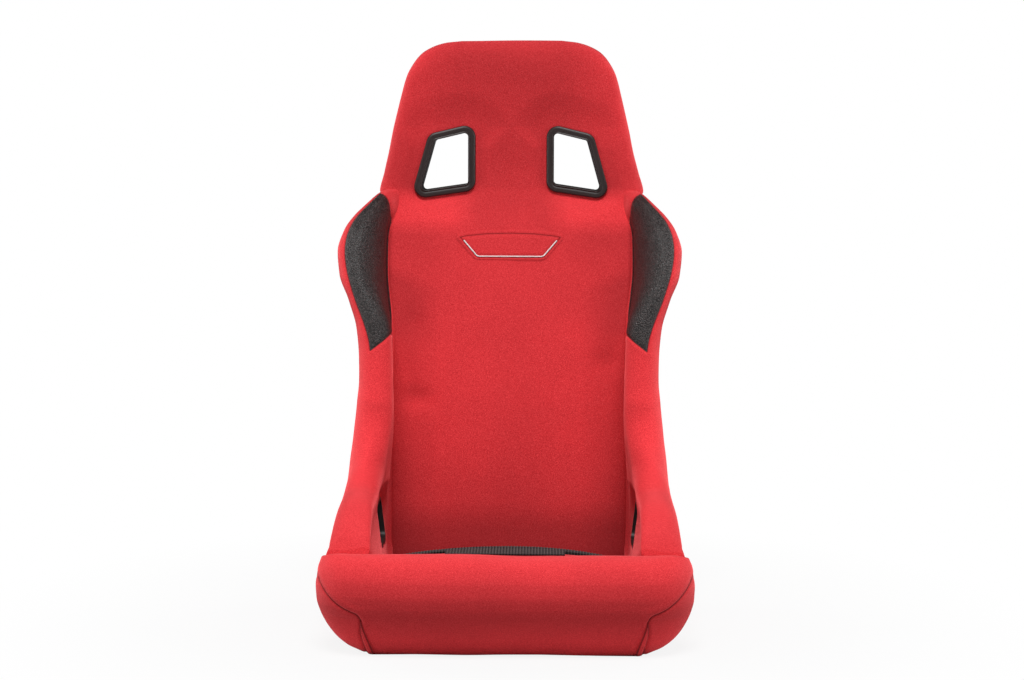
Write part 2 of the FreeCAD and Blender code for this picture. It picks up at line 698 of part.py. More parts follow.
def bolster(amount, skin=False):
    """The right bolster as one loft, moved in by an amount, or its skin alone."""
    sections = []

    def add(points, place):
        moved = inset(points, amount) if amount else points
        spots = [place(x, d) for x, d in moved]
        base = place(inner_half, moved[-1][1])
        edges = [curve(spots), straight(spots[-1], base)]
        if skin:
            within = inset(points, cover_thick)
            spots_in = [place(x, d) for x, d in within]
            base_in = place(inner_half, within[-1][1])
            edges = edges + [straight(base, base_in), straight(base_in, spots_in[-1]),
                             curve(list(reversed(spots_in))), straight(spots_in[0], spots[0])]
        else:
            edges.append(straight(base, spots[0]))
        sections.append(Part.Wire(edges))

    for i in range(len(wing_z)):
        z = wing_z[i]
        crease = front(inner_half, z)
        half = wing_half[i]
        ridge = inner_half + 0.62 * (half - inner_half)
        points = outline(half, ridge, wing_rise[i], wing_low[i], wing_foot[i], depth(z), 0.0)
        add(points, lambda x, d, c=crease, z=z: Vector(x, c - d, z))
    for i in range(len(fan_angle)):
        angle = fan_angle[i]
        kind = angle / -90.0
        crease = crease_reach(angle) - fan_ease[i]
        back = shell_reach(angle) - fan_lift[i] - crease
        half = fan_half[i]
        ridge = inner_half + (0.60 - 0.14 * kind) * (half - inner_half)
        points = outline(half, ridge, crease - fan_ridge[i], fan_low[i], fan_foot[i], back, kind)
        dy = math.cos(math.radians(angle))
        dz = math.sin(math.radians(angle))
        add(points, lambda x, d, c=crease, dy=dy, dz=dz:
            Vector(x, fan_y + dy * (c - d), fan_z + dz * (c - d)))
    ahead = [-fan_y] + [-y for y in thigh_y]
    for y in thigh_steps:
        crease = pad_side(y)
        half = blend(ahead, [fan_half[-1]] + thigh_half, -y)
        top = blend(ahead, [fan_top] + thigh_top, -y)
        low = blend(ahead, [fan_low[-1]] + thigh_low, -y)
        foot = blend(ahead, [fan_foot[-1]] + thigh_foot, -y)
        ridge = inner_half + 0.46 * (half - inner_half)
        points = outline(half, ridge, top - crease, low, foot, crease - floor_gap, 1.0)
        add(points, lambda x, d, c=crease, y=y: Vector(x, y, c + d))
    return Part.makeLoft(sections, True, False)


bolster_shell = bolster(0.0, True)
bolster_inner = bolster(cover_thick + foam_gap)

# Lap belt slot through the hip of the bolster, with a moulded edging.
lap_outline = ((lap_y_front, lap_z_low), (lap_y_rear, lap_z_low),
               (lap_y_rear, lap_z_high), (lap_y_front, lap_z_high))


def lap_prism(grow, rounding, start, end, lean=0.0):
    middle = (lap_z_low + lap_z_high) / 2
    points = [Vector(start + lean * (z - middle), y, z) for y, z in grown(lap_outline, grow)]
    face = Part.Face(run(points, rounding, True))
    return face.extrude(Vector(end - start, 0, 0))


lap_open = lap_prism(0.0, lap_round, lap_inner - 20, lap_outer + 30)
lap_sleeve = lap_prism(bezel_wall, lap_round + bezel_wall, lap_inner + 1, lap_outer + 9, lap_lean)
lap_sleeve = solid_of(lap_sleeve.cut(Part.makeBox(40, 200, 200, Vector(lap_outer - 1, -80, 50))))
lap_rim_in = lap_prism(lap_rim, lap_round + lap_rim, lap_inner, lap_inner + 3.4, lap_lean)
lap_rim_out = lap_prism(lap_rim, lap_round + lap_rim, lap_outer - 5.0, lap_outer)
lap_bezel = lap_sleeve.fuse(lap_rim_in).fuse(lap_rim_out).cut(lap_open).removeSplitter()
lap_right = keep(feature("lap_edging_r", solid_of(lap_bezel)), "lap_bezel_right")
lap_left = keep(mirrored("lap_edging_l", lap_right), "lap_bezel_left")
lap_clear_in = lap_prism(lap_rim, lap_round + lap_rim, lap_inner - 20, lap_inner + 3.4,
                         lap_lean)
lap_clear_out = lap_prism(lap_rim, lap_round + lap_rim, lap_outer - 5.0, lap_outer + 30)

plate_solid = solid_of(plate_shape.common(bolster_inner))
side_plate_right = keep(feature("plate_right", plate_solid), "side_plate_right")
side_plate_left = keep(mirrored("plate_left", side_plate_right), "side_plate_left")
bush_tools = [Part.makeCylinder(mount_radius, bush_length + 20, Vector(plate_inner, y, mount_z),
                                Vector(1, 0, 0)) for y in (mount_front_y, mount_rear_y)]
hardware = [ring_bar.Shape, hoop_bar.Shape, side_bar.Shape, plate_solid, lap_sleeve, lap_open,
            lap_clear_in, lap_clear_out, straps_low.Shape, hooks.Shape] + bush_tools
bolster_skin = clear(bolster_shell, [ring_bar.Shape, side_bar.Shape, lap_sleeve, lap_open,
                                     lap_clear_in, lap_clear_out] + bush_tools)
bolster_core = clear(bolster_inner.copy(), hardware)
bolster_foam_right = keep(feature("bolster_core_r", solid_of(bolster_core)),
                          "bolster_foam_right")
bolster_foam_left = keep(mirrored("bolster_core_l", bolster_foam_right), "bolster_foam_left")

# The grained patch on the shoulder, inside a narrow border of the main cover.
patch_names = ("peak", "inner_top", "inner_low", "inner_end", "tail", "outer_low", "outer_waist",
               "outer_mid", "outer_side", "outer_full", "outer_high", "outer_top")
patch_x = [size("patch_x_" + n, v) for n, v in zip(patch_names, (
    207, 186, 186, 188, 217, 220, 236, 251, 257, 256, 244, 224))]
patch_z = [size("patch_z_" + n, v) for n, v in zip(patch_names, (
    656, 640, 470, 438, 414, 436, 480, 522, 560, 592, 620, 642))]
doc.recompute()
patch_face = Part.Face(Part.makePolygon([Vector(x, -150, z) for x, z in zip(patch_x, patch_z)]
                                        + [Vector(patch_x[0], -150, patch_z[0])]))
patch_prism = patch_face.extrude(Vector(0, 500, 0))
rear_side = Part.Face(Part.makePolygon([Vector(228, 110, 400), Vector(228, 140, 560),
                                        Vector(228, 186, 640), Vector(228, 200, 700),
                                        Vector(228, 500, 700), Vector(228, 500, 400),
                                        Vector(228, 110, 400)]))
patch_prism = patch_prism.cut(rear_side.extrude(Vector(200, 0, 0)))
rear_deep = Part.Face(Part.makePolygon([Vector(150, 176, 400), Vector(150, 236, 620),
                                        Vector(150, 256, 700), Vector(150, 500, 700),
                                        Vector(150, 500, 400), Vector(150, 176, 400)]))
patch_prism = patch_prism.cut(rear_deep.extrude(Vector(200, 0, 0)))
patch = bolster_skin.common(patch_prism)
rest = bolster_skin.cut(patch_prism)
patch_right = keep(feature("patch_r", solid_of(patch)), "shoulder_patch_right")
patch_left = keep(mirrored("patch_l", patch_right), "shoulder_patch_left")
skin_right = keep(feature("bolster_skin_r", solid_of(rest)), "bolster_cover_right")
skin_left = keep(mirrored("bolster_skin_l", skin_right), "bolster_cover_left")

# Cover eyelets round the bushes.
for side in (1, -1):
    for along in (mount_front_y, mount_rear_y):
        start = Vector(side * (mount_face - 0.4 - eyelet_thick), along, mount_z)
        out = Vector(side, 0, 0)
        washer = Part.makeCylinder(eyelet_radius, eyelet_thick, start, out)
        eyelet_solids.append(washer.cut(Part.makeCylinder(mount_radius, 5, start, out)))
keep(feature("eyelets", Part.makeCompound(eyelet_solids)), "mount_eyelets")

# Front roll.
roll_marks = ((1.0, 0.0), (0.995, 0.22), (0.955, 0.52), (0.875, 0.78), (0.75, 0.92),
              (0.55, 0.985), (0.28, 1.0), (0.0, 1.0))


def roll_loft(amount):
    sections = []
    for i in range(len(roll_z)):
        z = roll_z[i]
        half = roll_half[i] - amount
        face = roll_y[i] + amount
        if i == len(roll_z) - 1 and amount:
            z = z - amount
            half = half + 4
            face = face - 5
        if i == len(roll_z) - 2 and amount:
            continue
        right = [Vector(half * a, roll_rear_y + (face - roll_rear_y) * b, z)
                 for a, b in roll_marks]
        left = [Vector(-p.x, p.y, p.z) for p in reversed(right[:-1])]
        spots = right + left
        sections.append(Part.Wire([curve(spots), straight(spots[-1], spots[0])]))
    return Part.makeLoft(sections, True, False)


roll_outer = roll_loft(0.0)
roll_inner = roll_loft(cover_thick)
roll_core = clear(roll_inner.copy(), [ring_bar.Shape, side_bar.Shape, side_bar_left,
                                      straps_low.Shape, hooks.Shape])
roll_skin = clear(roll_outer.cut(roll_inner), [ring_bar.Shape])
keep(feature("roll_core", solid_of(roll_core)), "roll_foam")
seam_names = ("side", "turn", "curve", "knee", "point", "dart", "hem")
seam_x = [size("seam_x_" + n, v) for n, v in zip(seam_names, (
    262, 254, 239, 222, 206, 196, 186))]
seam_z = [size("seam_z_" + n, v) for n, v in zip(seam_names, (
    112, 98, 84, 74, 62, 30, 0))]
doc.recompute()
seam = [Vector(x, -400, z) for x, z in zip(seam_x, seam_z)]
corner = [Vector(330, -400, 0), Vector(330, -400, 128), Vector(266, -400, 128)]
end_face = Part.Face(Part.makePolygon(seam + corner + [seam[0]]))
end_prism = end_face.extrude(Vector(0, 300, 0))
end_mirror = end_prism.mirror(Vector(0, 0, 0), Vector(1, 0, 0))
roll_end = roll_skin.common(end_prism)
roll_middle = roll_skin.cut(end_prism).cut(end_mirror)
end_right = keep(feature("roll_end_r", solid_of(roll_end)), "roll_end_right")
end_left = keep(mirrored("roll_end_l", end_right), "roll_end_left")
keep(feature("roll_middle", solid_of(roll_middle)), "roll_cover")


# Wedge under the cushion.
def wedge_profile(x, low, high_shift, rear_shift):
    """Side outline at one X: flat below, sloped on top, following the back behind."""
    top_rear = pad_rear_z - pad_depth + high_shift
    top_front = pad_front_z - pad_depth + high_shift
    rear_y = front(x, 40) - rear_shift
    slope = (top_rear - top_front) / (pad_rear_y - pad_front_y)
    return Part.makePolygon([Vector(x, roll_rear_y, low), Vector(x, rear_y, low),
                             Vector(x, rear_y, top_front + slope * (rear_y - pad_front_y)),
                             Vector(x, roll_rear_y, top_front), Vector(x, roll_rear_y, low)])


strap_top = strap_low + strap_thick
wedge = Part.makeLoft([wedge_profile(x, strap_top, -tape_space, 0.0) for x in side_steps],
                      True, False)
wedge = wedge.cut(back_whole)


def crotch_prism(grow, low, high):
    points = [Vector(-crotch_half - grow, crotch_y_front - grow, low),
              Vector(crotch_half + grow, crotch_y_front - grow, low),
              Vector(crotch_half + grow, crotch_y_rear + grow, low),
              Vector(-crotch_half - grow, crotch_y_rear + grow, low)]
    face = Part.Face(run(points, 8 + grow, True))
    return face.extrude(Vector(0, 0, high - low))


crotch_open = crotch_prism(0.0, 0.0, 200.0)
crotch_tube = crotch_prism(bezel_wall, strap_top - 1.5, 80.0)
crotch_rim = crotch_prism(7.0, strap_top - 3.0, strap_top)
crotch_bezel = crotch_tube.fuse(crotch_rim).cut(crotch_open).removeSplitter()
wedge = wedge.cut(crotch_prism(bezel_wall, 0.0, 80.0)).cut(crotch_open)
keep(feature("wedge", solid_of(wedge)), "base_foam")
keep(feature("crotch_edging", solid_of(crotch_bezel)), "crotch_bezel")


# Removable cushion.
pad_half = inner_half - pad_gap
pad_steps = (-1.0, -0.965, -0.86, -0.6, -0.3, 0.0, 0.3, 0.6, 0.86, 0.965, 1.0)
pad_drop = {1.0: 12.0, 0.965: 4.5, 0.86: 1.0}


def pad_top(x, y):
    """Height of the cushion's upper face."""
    part = abs(x) / pad_half
    crown = pad_crown * (1 - part ** 2)
    ends = min((y - (pad_front_y + pad_gap)) / 14.0, 1.0)
    return pad_side(y) + crown - 3.0 * (1 - max(ends, 0.0)) ** 2


def pad_layer(over, under):
    """The cushion between two depths below its top; under None means its flat base."""
    sections = []
    for part in pad_steps:
        x = pad_half * part
        drop = pad_drop.get(round(abs(part), 3), 0.0)
        fore_y = pad_front_y + pad_gap
        levels = [fore_y, fore_y + 14, -158.0, -98.0, -38.0, 22.0, 62.0]
        rear_y = front(x, 60) - pad_gap
        levels.append(rear_y)
        top = [Vector(x, y, pad_top(x, y) - over - drop) for y in levels]
        if under is None:
            low = [Vector(x, y, pad_side(y) - pad_depth) for y in (fore_y, rear_y)]
            low_edge = straight(low[1], low[0])
        else:
            low = [Vector(x, y, pad_top(x, y) - under - drop) for y in levels]
            low_edge = curve(list(reversed(low)))
        sections.append(Part.Wire([curve(top), straight(top[-1], low[-1]), low_edge,
                                   straight(low[0], top[0])]))
    return Part.makeLoft(sections, True, False)


pad_cover_shape = pad_layer(0.0, pad_skin)
pad_core = pad_layer(pad_skin, None)
crotch_wide = crotch_prism(2.5, 0.0, 200.0)
tongue_z = roll_z[-1] + 0.4
fore_edge = pad_front_y + pad_gap
tongue = Part.Face(run([Vector(-tongue_half, fore_edge + 9, tongue_z),
                        Vector(tongue_half, fore_edge + 9, tongue_z),
                        Vector(tongue_half, fore_edge - tongue_reach, tongue_z),
                        Vector(-tongue_half, fore_edge - tongue_reach, tongue_z)],
                       3.0, True)).extrude(Vector(0, 0, tongue_thick))
hem = Part.makeBox(2 * tongue_half, 5, tongue_z + tongue_thick - pad_front_z,
                   Vector(-tongue_half, fore_edge + 1, pad_front_z))
tongue = tongue.fuse(hem)
pad_core = pad_core.cut(crotch_wide).cut(tongue)
pad_cover_shape = pad_cover_shape.cut(crotch_wide).fuse(tongue)
pad_cover_shape = pad_cover_shape.cut(pad_core)
keep(feature("pad_core", solid_of(pad_core)), "cushion_foam")
keep(feature("pad_cover", solid_of(pad_cover_shape)), "cushion_cover")

# Hook and loop tapes between the wedge and the cushion.
tape_slope = math.degrees(math.atan2(pad_front_z - pad_rear_z, pad_rear_y - pad_front_y))


def tape_pair(name, label, shift):
    solids = []
    for x in (-140.0, 90.0):
        for y in (-188.0, 12.0):
            item = Part.makeBox(50, 60, tape_thick, Vector(0, 0, 0))
            z = pad_side(y) - pad_depth + shift
            item.Placement = Placement(Vector(x, y, z), Rotation(Vector(1, 0, 0), -tape_slope))
            solids.append(item)
    return keep(feature(name, Part.makeCompound(solids)), label)


tape_pair("tape_low", "hook_tapes", -tape_space)
tape_pair("tape_high", "loop_tapes", -tape_thick / math.cos(math.radians(tape_slope)))

# Bare raised panel on the chest and its piping.
badge_half_top = size("badge_half_top", 76.0)
badge_half_low = size("badge_half_low", 49.0)
badge_high = size("badge_high", 586.0)
badge_side = size("badge_side", 581.0)
badge_low = size("badge_low", 556.0)
badge_raise = size("badge_raise", 1.6)
piping_wide = size("piping_wide", 2.2)
piping_raise = size("piping_raise", 2.2)
doc.recompute()


def chest_layer(near, far):
    levels = [540.0, 555.0, 570.0, 585.0, 600.0]
    sections = []
    for x in (-90.0, -45.0, 0.0, 45.0, 90.0):
        fore = [Vector(x, front(x, z) - far, z) for z in levels]
        aft = [Vector(x, front(x, z) - near, z) for z in levels]
        sections.append(Part.Wire([curve(fore), straight(fore[-1], aft[-1]),
                                   curve(list(reversed(aft))), straight(aft[0], fore[0])]))
    return Part.makeLoft(sections, True, False)


badge_outline = [(-badge_half_top, badge_side), (-badge_half_top + 12, badge_high - 2),
                 (0.0, badge_high), (badge_half_top - 12, badge_high - 2),
                 (badge_half_top, badge_side), (badge_half_low, badge_low),
                 (-badge_half_low, badge_low)]


def upright_prism(points):
    spots = [Vector(x, 100, z) for x, z in points]
    return Part.Face(Part.makePolygon(spots + [spots[0]])).extrude(Vector(0, 200, 0))


band = [(-badge_half_top - 1, badge_side), (-badge_half_low - 1, badge_low - piping_wide),
        (badge_half_low + 1, badge_low - piping_wide), (badge_half_top + 1, badge_side),
        (badge_half_top - piping_wide, badge_side), (badge_half_low - 0.6, badge_low),
        (-badge_half_low + 0.6, badge_low), (-badge_half_top + piping_wide, badge_side)]
band_prism = upright_prism(band)
badge = chest_layer(-0.3, badge_raise).common(upright_prism(badge_outline)).cut(band_prism)
badge = badge.cut(back_front_skin)
piping = chest_layer(-0.3, piping_raise).common(band_prism).cut(back_front_skin)
keep(feature("badge", solid_of(badge)), "badge_panel")
keep(feature("piping", solid_of(piping)), "badge_piping")

# Check and write.
doc.recompute()
for item in doc.Objects:
    if "Invalid" in item.State or "Error" in item.State:
        raise RuntimeError("not built: " + item.Label)
for item in nodes:
    shape = item.Shape
    if shape.isNull() or not shape.isValid() or not shape.Solids:
        raise RuntimeError("bad shape: " + item.Label)
os.makedirs("parts", exist_ok=True)
for item in nodes:
    item.Shape.exportStep("parts/" + item.Label + ".step")
print(len(nodes), "nodes written")
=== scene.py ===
import contextlib
import math

import bmesh
import bpy
import numpy as np
from mathutils import Matrix, Vector


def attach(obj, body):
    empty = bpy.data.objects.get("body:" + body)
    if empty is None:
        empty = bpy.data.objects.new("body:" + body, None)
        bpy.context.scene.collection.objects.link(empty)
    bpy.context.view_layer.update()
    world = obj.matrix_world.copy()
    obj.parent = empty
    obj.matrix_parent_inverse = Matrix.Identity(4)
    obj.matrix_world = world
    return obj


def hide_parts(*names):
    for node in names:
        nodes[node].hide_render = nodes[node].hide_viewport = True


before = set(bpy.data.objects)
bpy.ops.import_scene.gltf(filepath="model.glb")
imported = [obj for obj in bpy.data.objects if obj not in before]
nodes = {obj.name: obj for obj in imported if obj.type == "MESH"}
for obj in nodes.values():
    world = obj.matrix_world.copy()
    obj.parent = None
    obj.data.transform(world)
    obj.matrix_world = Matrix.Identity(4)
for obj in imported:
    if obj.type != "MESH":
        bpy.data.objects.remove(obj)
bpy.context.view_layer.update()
scene = bpy.context.scene
MM = 0.001

# Sizes, in mm. X is to the right in the front view, -Y is forward and Z is up.
INNER = 190.0           # half width between the bolsters
FLOOR_GAP = 2.0         # the covers' lower edge
WRAP_HALF = 205.0       # half width over which the back's curve is given
# The back's front face by height: its place in the middle, and how far its sides come forward.
BACK_Z = [2, 60, 130, 220, 320, 420, 500, 560, 600, 635, 665, 700, 760, 820, 870, 900]
BACK_Y = [104, 104, 112, 122, 134, 155, 176, 195, 211, 230, 242, 246, 243, 237, 230, 225]
BACK_W = [8, 8, 8, 8, 8, 8, 8, 12, 18, 26, 32, 36, 38, 37, 33, 28]
FAN_Y, FAN_Z = -68.0, 330.0     # the point about which the bolster turns from upright to level
PAD_REAR_Y, PAD_FRONT_Y, PAD_REAR_Z, PAD_FRONT_Z = 104.0, -213.0, 76.0, 135.0
PAD_CROWN, PAD_DEPTH, PAD_GAP = 14.0, 32.0, 1.5
RIB = 4.4               # from one rib of the cushion's fabric to the next
ROLL_REAR, ROLL_TOP = PAD_FRONT_Y, 149.0
BACK_DEPTH = 60.0
FAR = 30.0              # distance from a seam stored where there is none


def ease(value, start, end):
    """0 at the start and 1 at the end, with a smooth passage between."""
    t = np.clip((value - start) / (end - start), 0, 1)
    return t * t * (3 - 2 * t)


def bell(value, middle, width):
    """A bump of height 1 about the middle."""
    return np.exp(-((value - middle) / width) ** 2)


def curve_at(levels, values, at):
    """Smooth curve through the values, with no overshoot between them."""
    x = np.asarray(levels, float)
    y = np.asarray(values, float)
    at = np.clip(np.asarray(at, float), x[0], x[-1])
    step = np.diff(y) / np.diff(x)
    slope = np.zeros_like(y)
    slope[0], slope[-1] = step[0], step[-1]
    a, b = step[:-1], step[1:]
    both = a * b > 0
    slope[1:-1][both] = 2 * a[both] * b[both] / (a[both] + b[both])
    i = np.clip(np.searchsorted(x, at, side="right") - 1, 0, len(x) - 2)
    span = x[i + 1] - x[i]
    u = (at - x[i]) / span
    return ((2 * u ** 3 - 3 * u ** 2 + 1) * y[i] + (u ** 3 - 2 * u ** 2 + u) * span * slope[i]
            + (3 * u ** 2 - 2 * u ** 3) * y[i + 1] + (u ** 3 - u ** 2) * span * slope[i + 1])


def front(x, z):
    """Y of the front face of the back and head."""
    wrap = (np.asarray(x) / WRAP_HALF) ** 2
    return curve_at(BACK_Z, BACK_Y, z) - curve_at(BACK_Z, BACK_W, z) * wrap


def thickness(z):
    """Depth of the back at a height."""
    return curve_at([2, 20, 60, 900], [38, 52, BACK_DEPTH, BACK_DEPTH], z)


def pad_side(y):
    """Height of the cushion's top at its sides."""
    part = (PAD_REAR_Y - np.asarray(y, float)) / (PAD_REAR_Y - PAD_FRONT_Y)
    return PAD_REAR_Z + part * (PAD_FRONT_Z - PAD_REAR_Z)


def smooth_line(points, count, closed=False):
    """A smooth curve through the points, at even steps of its length."""
    p = np.asarray(points, float)
    if closed:
        p = np.vstack([p, p[:1]])
    k = len(p)
    t = np.concatenate([[0], np.cumsum(np.linalg.norm(np.diff(p, axis=0), axis=1))])
    gap = np.diff(t)
    m = np.zeros((k, k))
    r = np.zeros_like(p)
    for i in range(1, k - 1):
        m[i, i - 1], m[i, i], m[i, i + 1] = gap[i - 1], 2 * (gap[i - 1] + gap[i]), gap[i]
        r[i] = 6 * ((p[i + 1] - p[i]) / gap[i] - (p[i] - p[i - 1]) / gap[i - 1])
    if closed:
        m[0, 0], m[0, -1] = 1, -1
        m[-1, 0], m[-1, 1] = 2 * gap[0], gap[0]
        m[-1, -2], m[-1, -1] = gap[-1], 2 * gap[-1]
        r[-1] = 6 * ((p[1] - p[0]) / gap[0] - (p[-1] - p[-2]) / gap[-1])
    else:
        m[0, 0] = m[-1, -1] = 1
    second = np.linalg.solve(m, r)

    def sample(at):
        i = np.clip(np.searchsorted(t, at, side="right") - 1, 0, k - 2)
        h = gap[i][:, None]
        a = ((t[i + 1] - at) / gap[i])[:, None]
        b = ((at - t[i]) / gap[i])[:, None]
        return (a * p[i] + b * p[i + 1]
                + ((a ** 3 - a) * second[i] + (b ** 3 - b) * second[i + 1]) * h ** 2 / 6)

    fine = sample(np.linspace(0, t[-1], count * 6 + 1))
    run = np.concatenate([[0], np.cumsum(np.linalg.norm(np.diff(fine, axis=0), axis=1))])
    want = np.linspace(0, run[-1], count + 1)[:-1] if closed else np.linspace(0, run[-1], count)
    return np.stack([np.interp(want, run, fine[:, j]) for j in range(p.shape[1])], axis=1)


# The camera: distance and height in mm, downward angle, focal length in pixels of the view, and
# mm of the seat to one pixel at the back and at the front roll.
CAM_D, CAM_H, CAM_PITCH, CAM_F = 3608.0, 800.0, math.radians(5.764), 2356.0
VIEW_WIDE, VIEW_HIGH = 1024.0, 680.0
BACK_PX, ROLL_PX = 1.6, 1.43


def seen(v):
    """Sideways and downward place of points in the front view, in its pixels from the middle."""
    x, y, z = v[..., 0], v[..., 1] + CAM_D, v[..., 2] - CAM_H
    deep = y * math.cos(CAM_PITCH) - z * math.sin(CAM_PITCH)
    up = y * math.sin(CAM_PITCH) + z * math.cos(CAM_PITCH)
    return np.stack([CAM_F * x / deep, VIEW_HIGH / 2 - CAM_F * up / deep], axis=-1)


def signed(spots, line):
    """Distance from 2-D points to a polygon's edge, below zero inside it."""
    q = spots.reshape(-1, 2)
    a = np.asarray(line, float)
    b = np.roll(a, -1, axis=0)
    best = np.full(len(q), 1e9)
    within = np.zeros(len(q), bool)
    for s, e in zip(a, b):
        d = e - s
        if d @ d > 1e-9:
            u = np.clip(((q - s) @ d) / (d @ d), 0, 1)
            best = np.minimum(best, np.linalg.norm(q - (s + u[:, None] * d), axis=1))
        if s[1] != e[1]:
            within ^= ((s[1] > q[:, 1]) != (e[1] > q[:, 1])) & (
                q[:, 0] < d[0] * (q[:, 1] - s[1]) / d[1] + s[0])
    return np.where(within, -best, best).reshape(spots.shape[:-1])


def waves(v, seed, sizes, amounts):
    """Gentle, repeatable unevenness: a few slow sine fields added up."""
    rng = np.random.default_rng(seed)
    total = np.zeros(v.shape[:-1])
    for wave, amount in zip(sizes, amounts):
        for _ in range(5):
            way = rng.normal(size=3)
            way /= np.linalg.norm(way)
            total += amount / 2.2 * np.sin(v @ way * (2 * math.pi / wave) + rng.uniform(0, 6.3))
    return total


# Mesh helpers.
def placed(name, data):
    """A new object in the scene."""
    ob = bpy.data.objects.new(name, data)
    scene.collection.objects.link(ob)
    return ob


def dress(ob, material):
    """Gives an object its one material."""
    ob.data.materials.clear()
    ob.data.materials.append(material)


def surface_normals(grid):
    """Unit normals of a grid of points, rows along one way and columns round."""
    du = np.roll(grid, -1, axis=1) - np.roll(grid, 1, axis=1)
    dv = np.gradient(grid, axis=0)
    n = np.cross(du, dv)
    length = np.linalg.norm(n, axis=-1, keepdims=True)
    return n / np.maximum(length, 1e-9)


def grid_mesh(name, grid, material, kind="capped"):
    """A capped tube, a ring or a sheet from rows of points in mm; a sheet's rows are open."""
    rows, cols = grid.shape[:2]
    verts = grid.reshape(-1, 3) * MM
    faces = []
    for i in range(rows if kind == "ring" else rows - 1):
        a, b = i * cols, (i + 1) % rows * cols
        for j in range(cols - 1 if kind == "sheet" else cols):
            k = (j + 1) % cols
            faces.append((a + j, a + k, b + k, b + j))
    for row in (0, rows - 1) if kind == "capped" else ():
        middle = verts[row * cols:(row + 1) * cols].mean(axis=0)
        verts = np.vstack([verts, middle])
        for j in range(cols):
            tri = (row * cols + (j + 1) % cols, row * cols + j, len(verts) - 1)
            faces.append(tri if row == 0 else tri[::-1])
    mesh = bpy.data.meshes.new(name)
    mesh.from_pydata(verts.tolist(), [], faces)
    mesh.update()
    mesh.shade_smooth()
    ob = placed(name, mesh)
    if kind != "sheet":
        outward(ob)
    dress(ob, material)
    return ob


@contextlib.contextmanager
def edited(ob):
    """The object's mesh, open for changes."""
    bm = bmesh.new()
    bm.from_mesh(ob.data)
    yield bm
    bm.to_mesh(ob.data)
    bm.free()


def outward(ob):
    """Turns a closed mesh's faces outward."""
    with edited(ob) as bm:
        bmesh.ops.recalc_face_normals(bm, faces=bm.faces)


def mark(ob, name, values, fill):
    """Stores one number per vertex, with fill for the caps."""
    item = ob.data.attributes.new(name, "FLOAT", "POINT")
    data = np.full(len(ob.data.vertices), fill, float)
    data[:len(values)] = values
    item.data.foreach_set("value", data)


def mirrored(ob, name):
    """The left-hand copy of a right-hand piece."""
    mesh = ob.data.copy()
    mesh.name = name
    mesh.transform(Matrix.Diagonal((-1, 1, 1, 1)))
    mesh.flip_normals()
    return placed(name, mesh)


def cut_away(ob, prism):
    """Cuts a hole through a piece and removes the cutter."""
    mod = ob.modifiers.new("cut", "BOOLEAN")
    mod.operation = "DIFFERENCE"
    mod.solver = "EXACT"
    mod.object = prism
    dg = bpy.context.evaluated_depsgraph_get()
    mesh = bpy.data.meshes.new_from_object(ob.evaluated_get(dg))
    ob.modifiers.remove(mod)
    old = ob.data
    ob.data = mesh
    bpy.data.meshes.remove(old)
    shape = prism.data
    bpy.data.objects.remove(prism)
    bpy.data.meshes.remove(shape)


def prism(outline, way):
    """A closed prism: outline points in mm pushed along one way."""
    a = np.asarray(outline, float)
    b = a + way
    n = len(a)
    faces = [tuple(range(n)), tuple(range(2 * n - 1, n - 1, -1))]
    faces += [(i, i + n, (i + 1) % n + n, (i + 1) % n) for i in range(n)]
    mesh = bpy.data.meshes.new("cutter")
    mesh.from_pydata((np.vstack([a, b]) * MM).tolist(), [], faces)
    mesh.update()
    ob = placed("cutter", mesh)
    outward(ob)
    return ob


def box(left, low, right, high):
    """Corners of a rectangle."""
    return [(left, low), (right, low), (right, high), (left, high)]


def rounded(outline, radius, steps=8):
    """A flat polygon with rounded corners."""
    p = np.asarray(outline, float)
    n = len(p)
    out = []
    for i in range(n):
        a, b, c = p[i - 1], p[i], p[(i + 1) % n]
        u, v = a - b, c - b
        u, v = u / np.linalg.norm(u), v / np.linalg.norm(v)
        turn = math.pi - math.acos(np.clip(u @ v, -1, 1))
        reach = radius * math.tan(turn / 2)
        s, e = b + u * reach, b + v * reach
        mid = (u + v) / np.linalg.norm(u + v)
        centre = b + mid * radius / math.cos(turn / 2)
        for k in range(steps + 1):
            w = k / steps
            q = s * (1 - w) + e * w - centre
            out.append(centre + q / np.linalg.norm(q) * radius)
    return np.array(out)


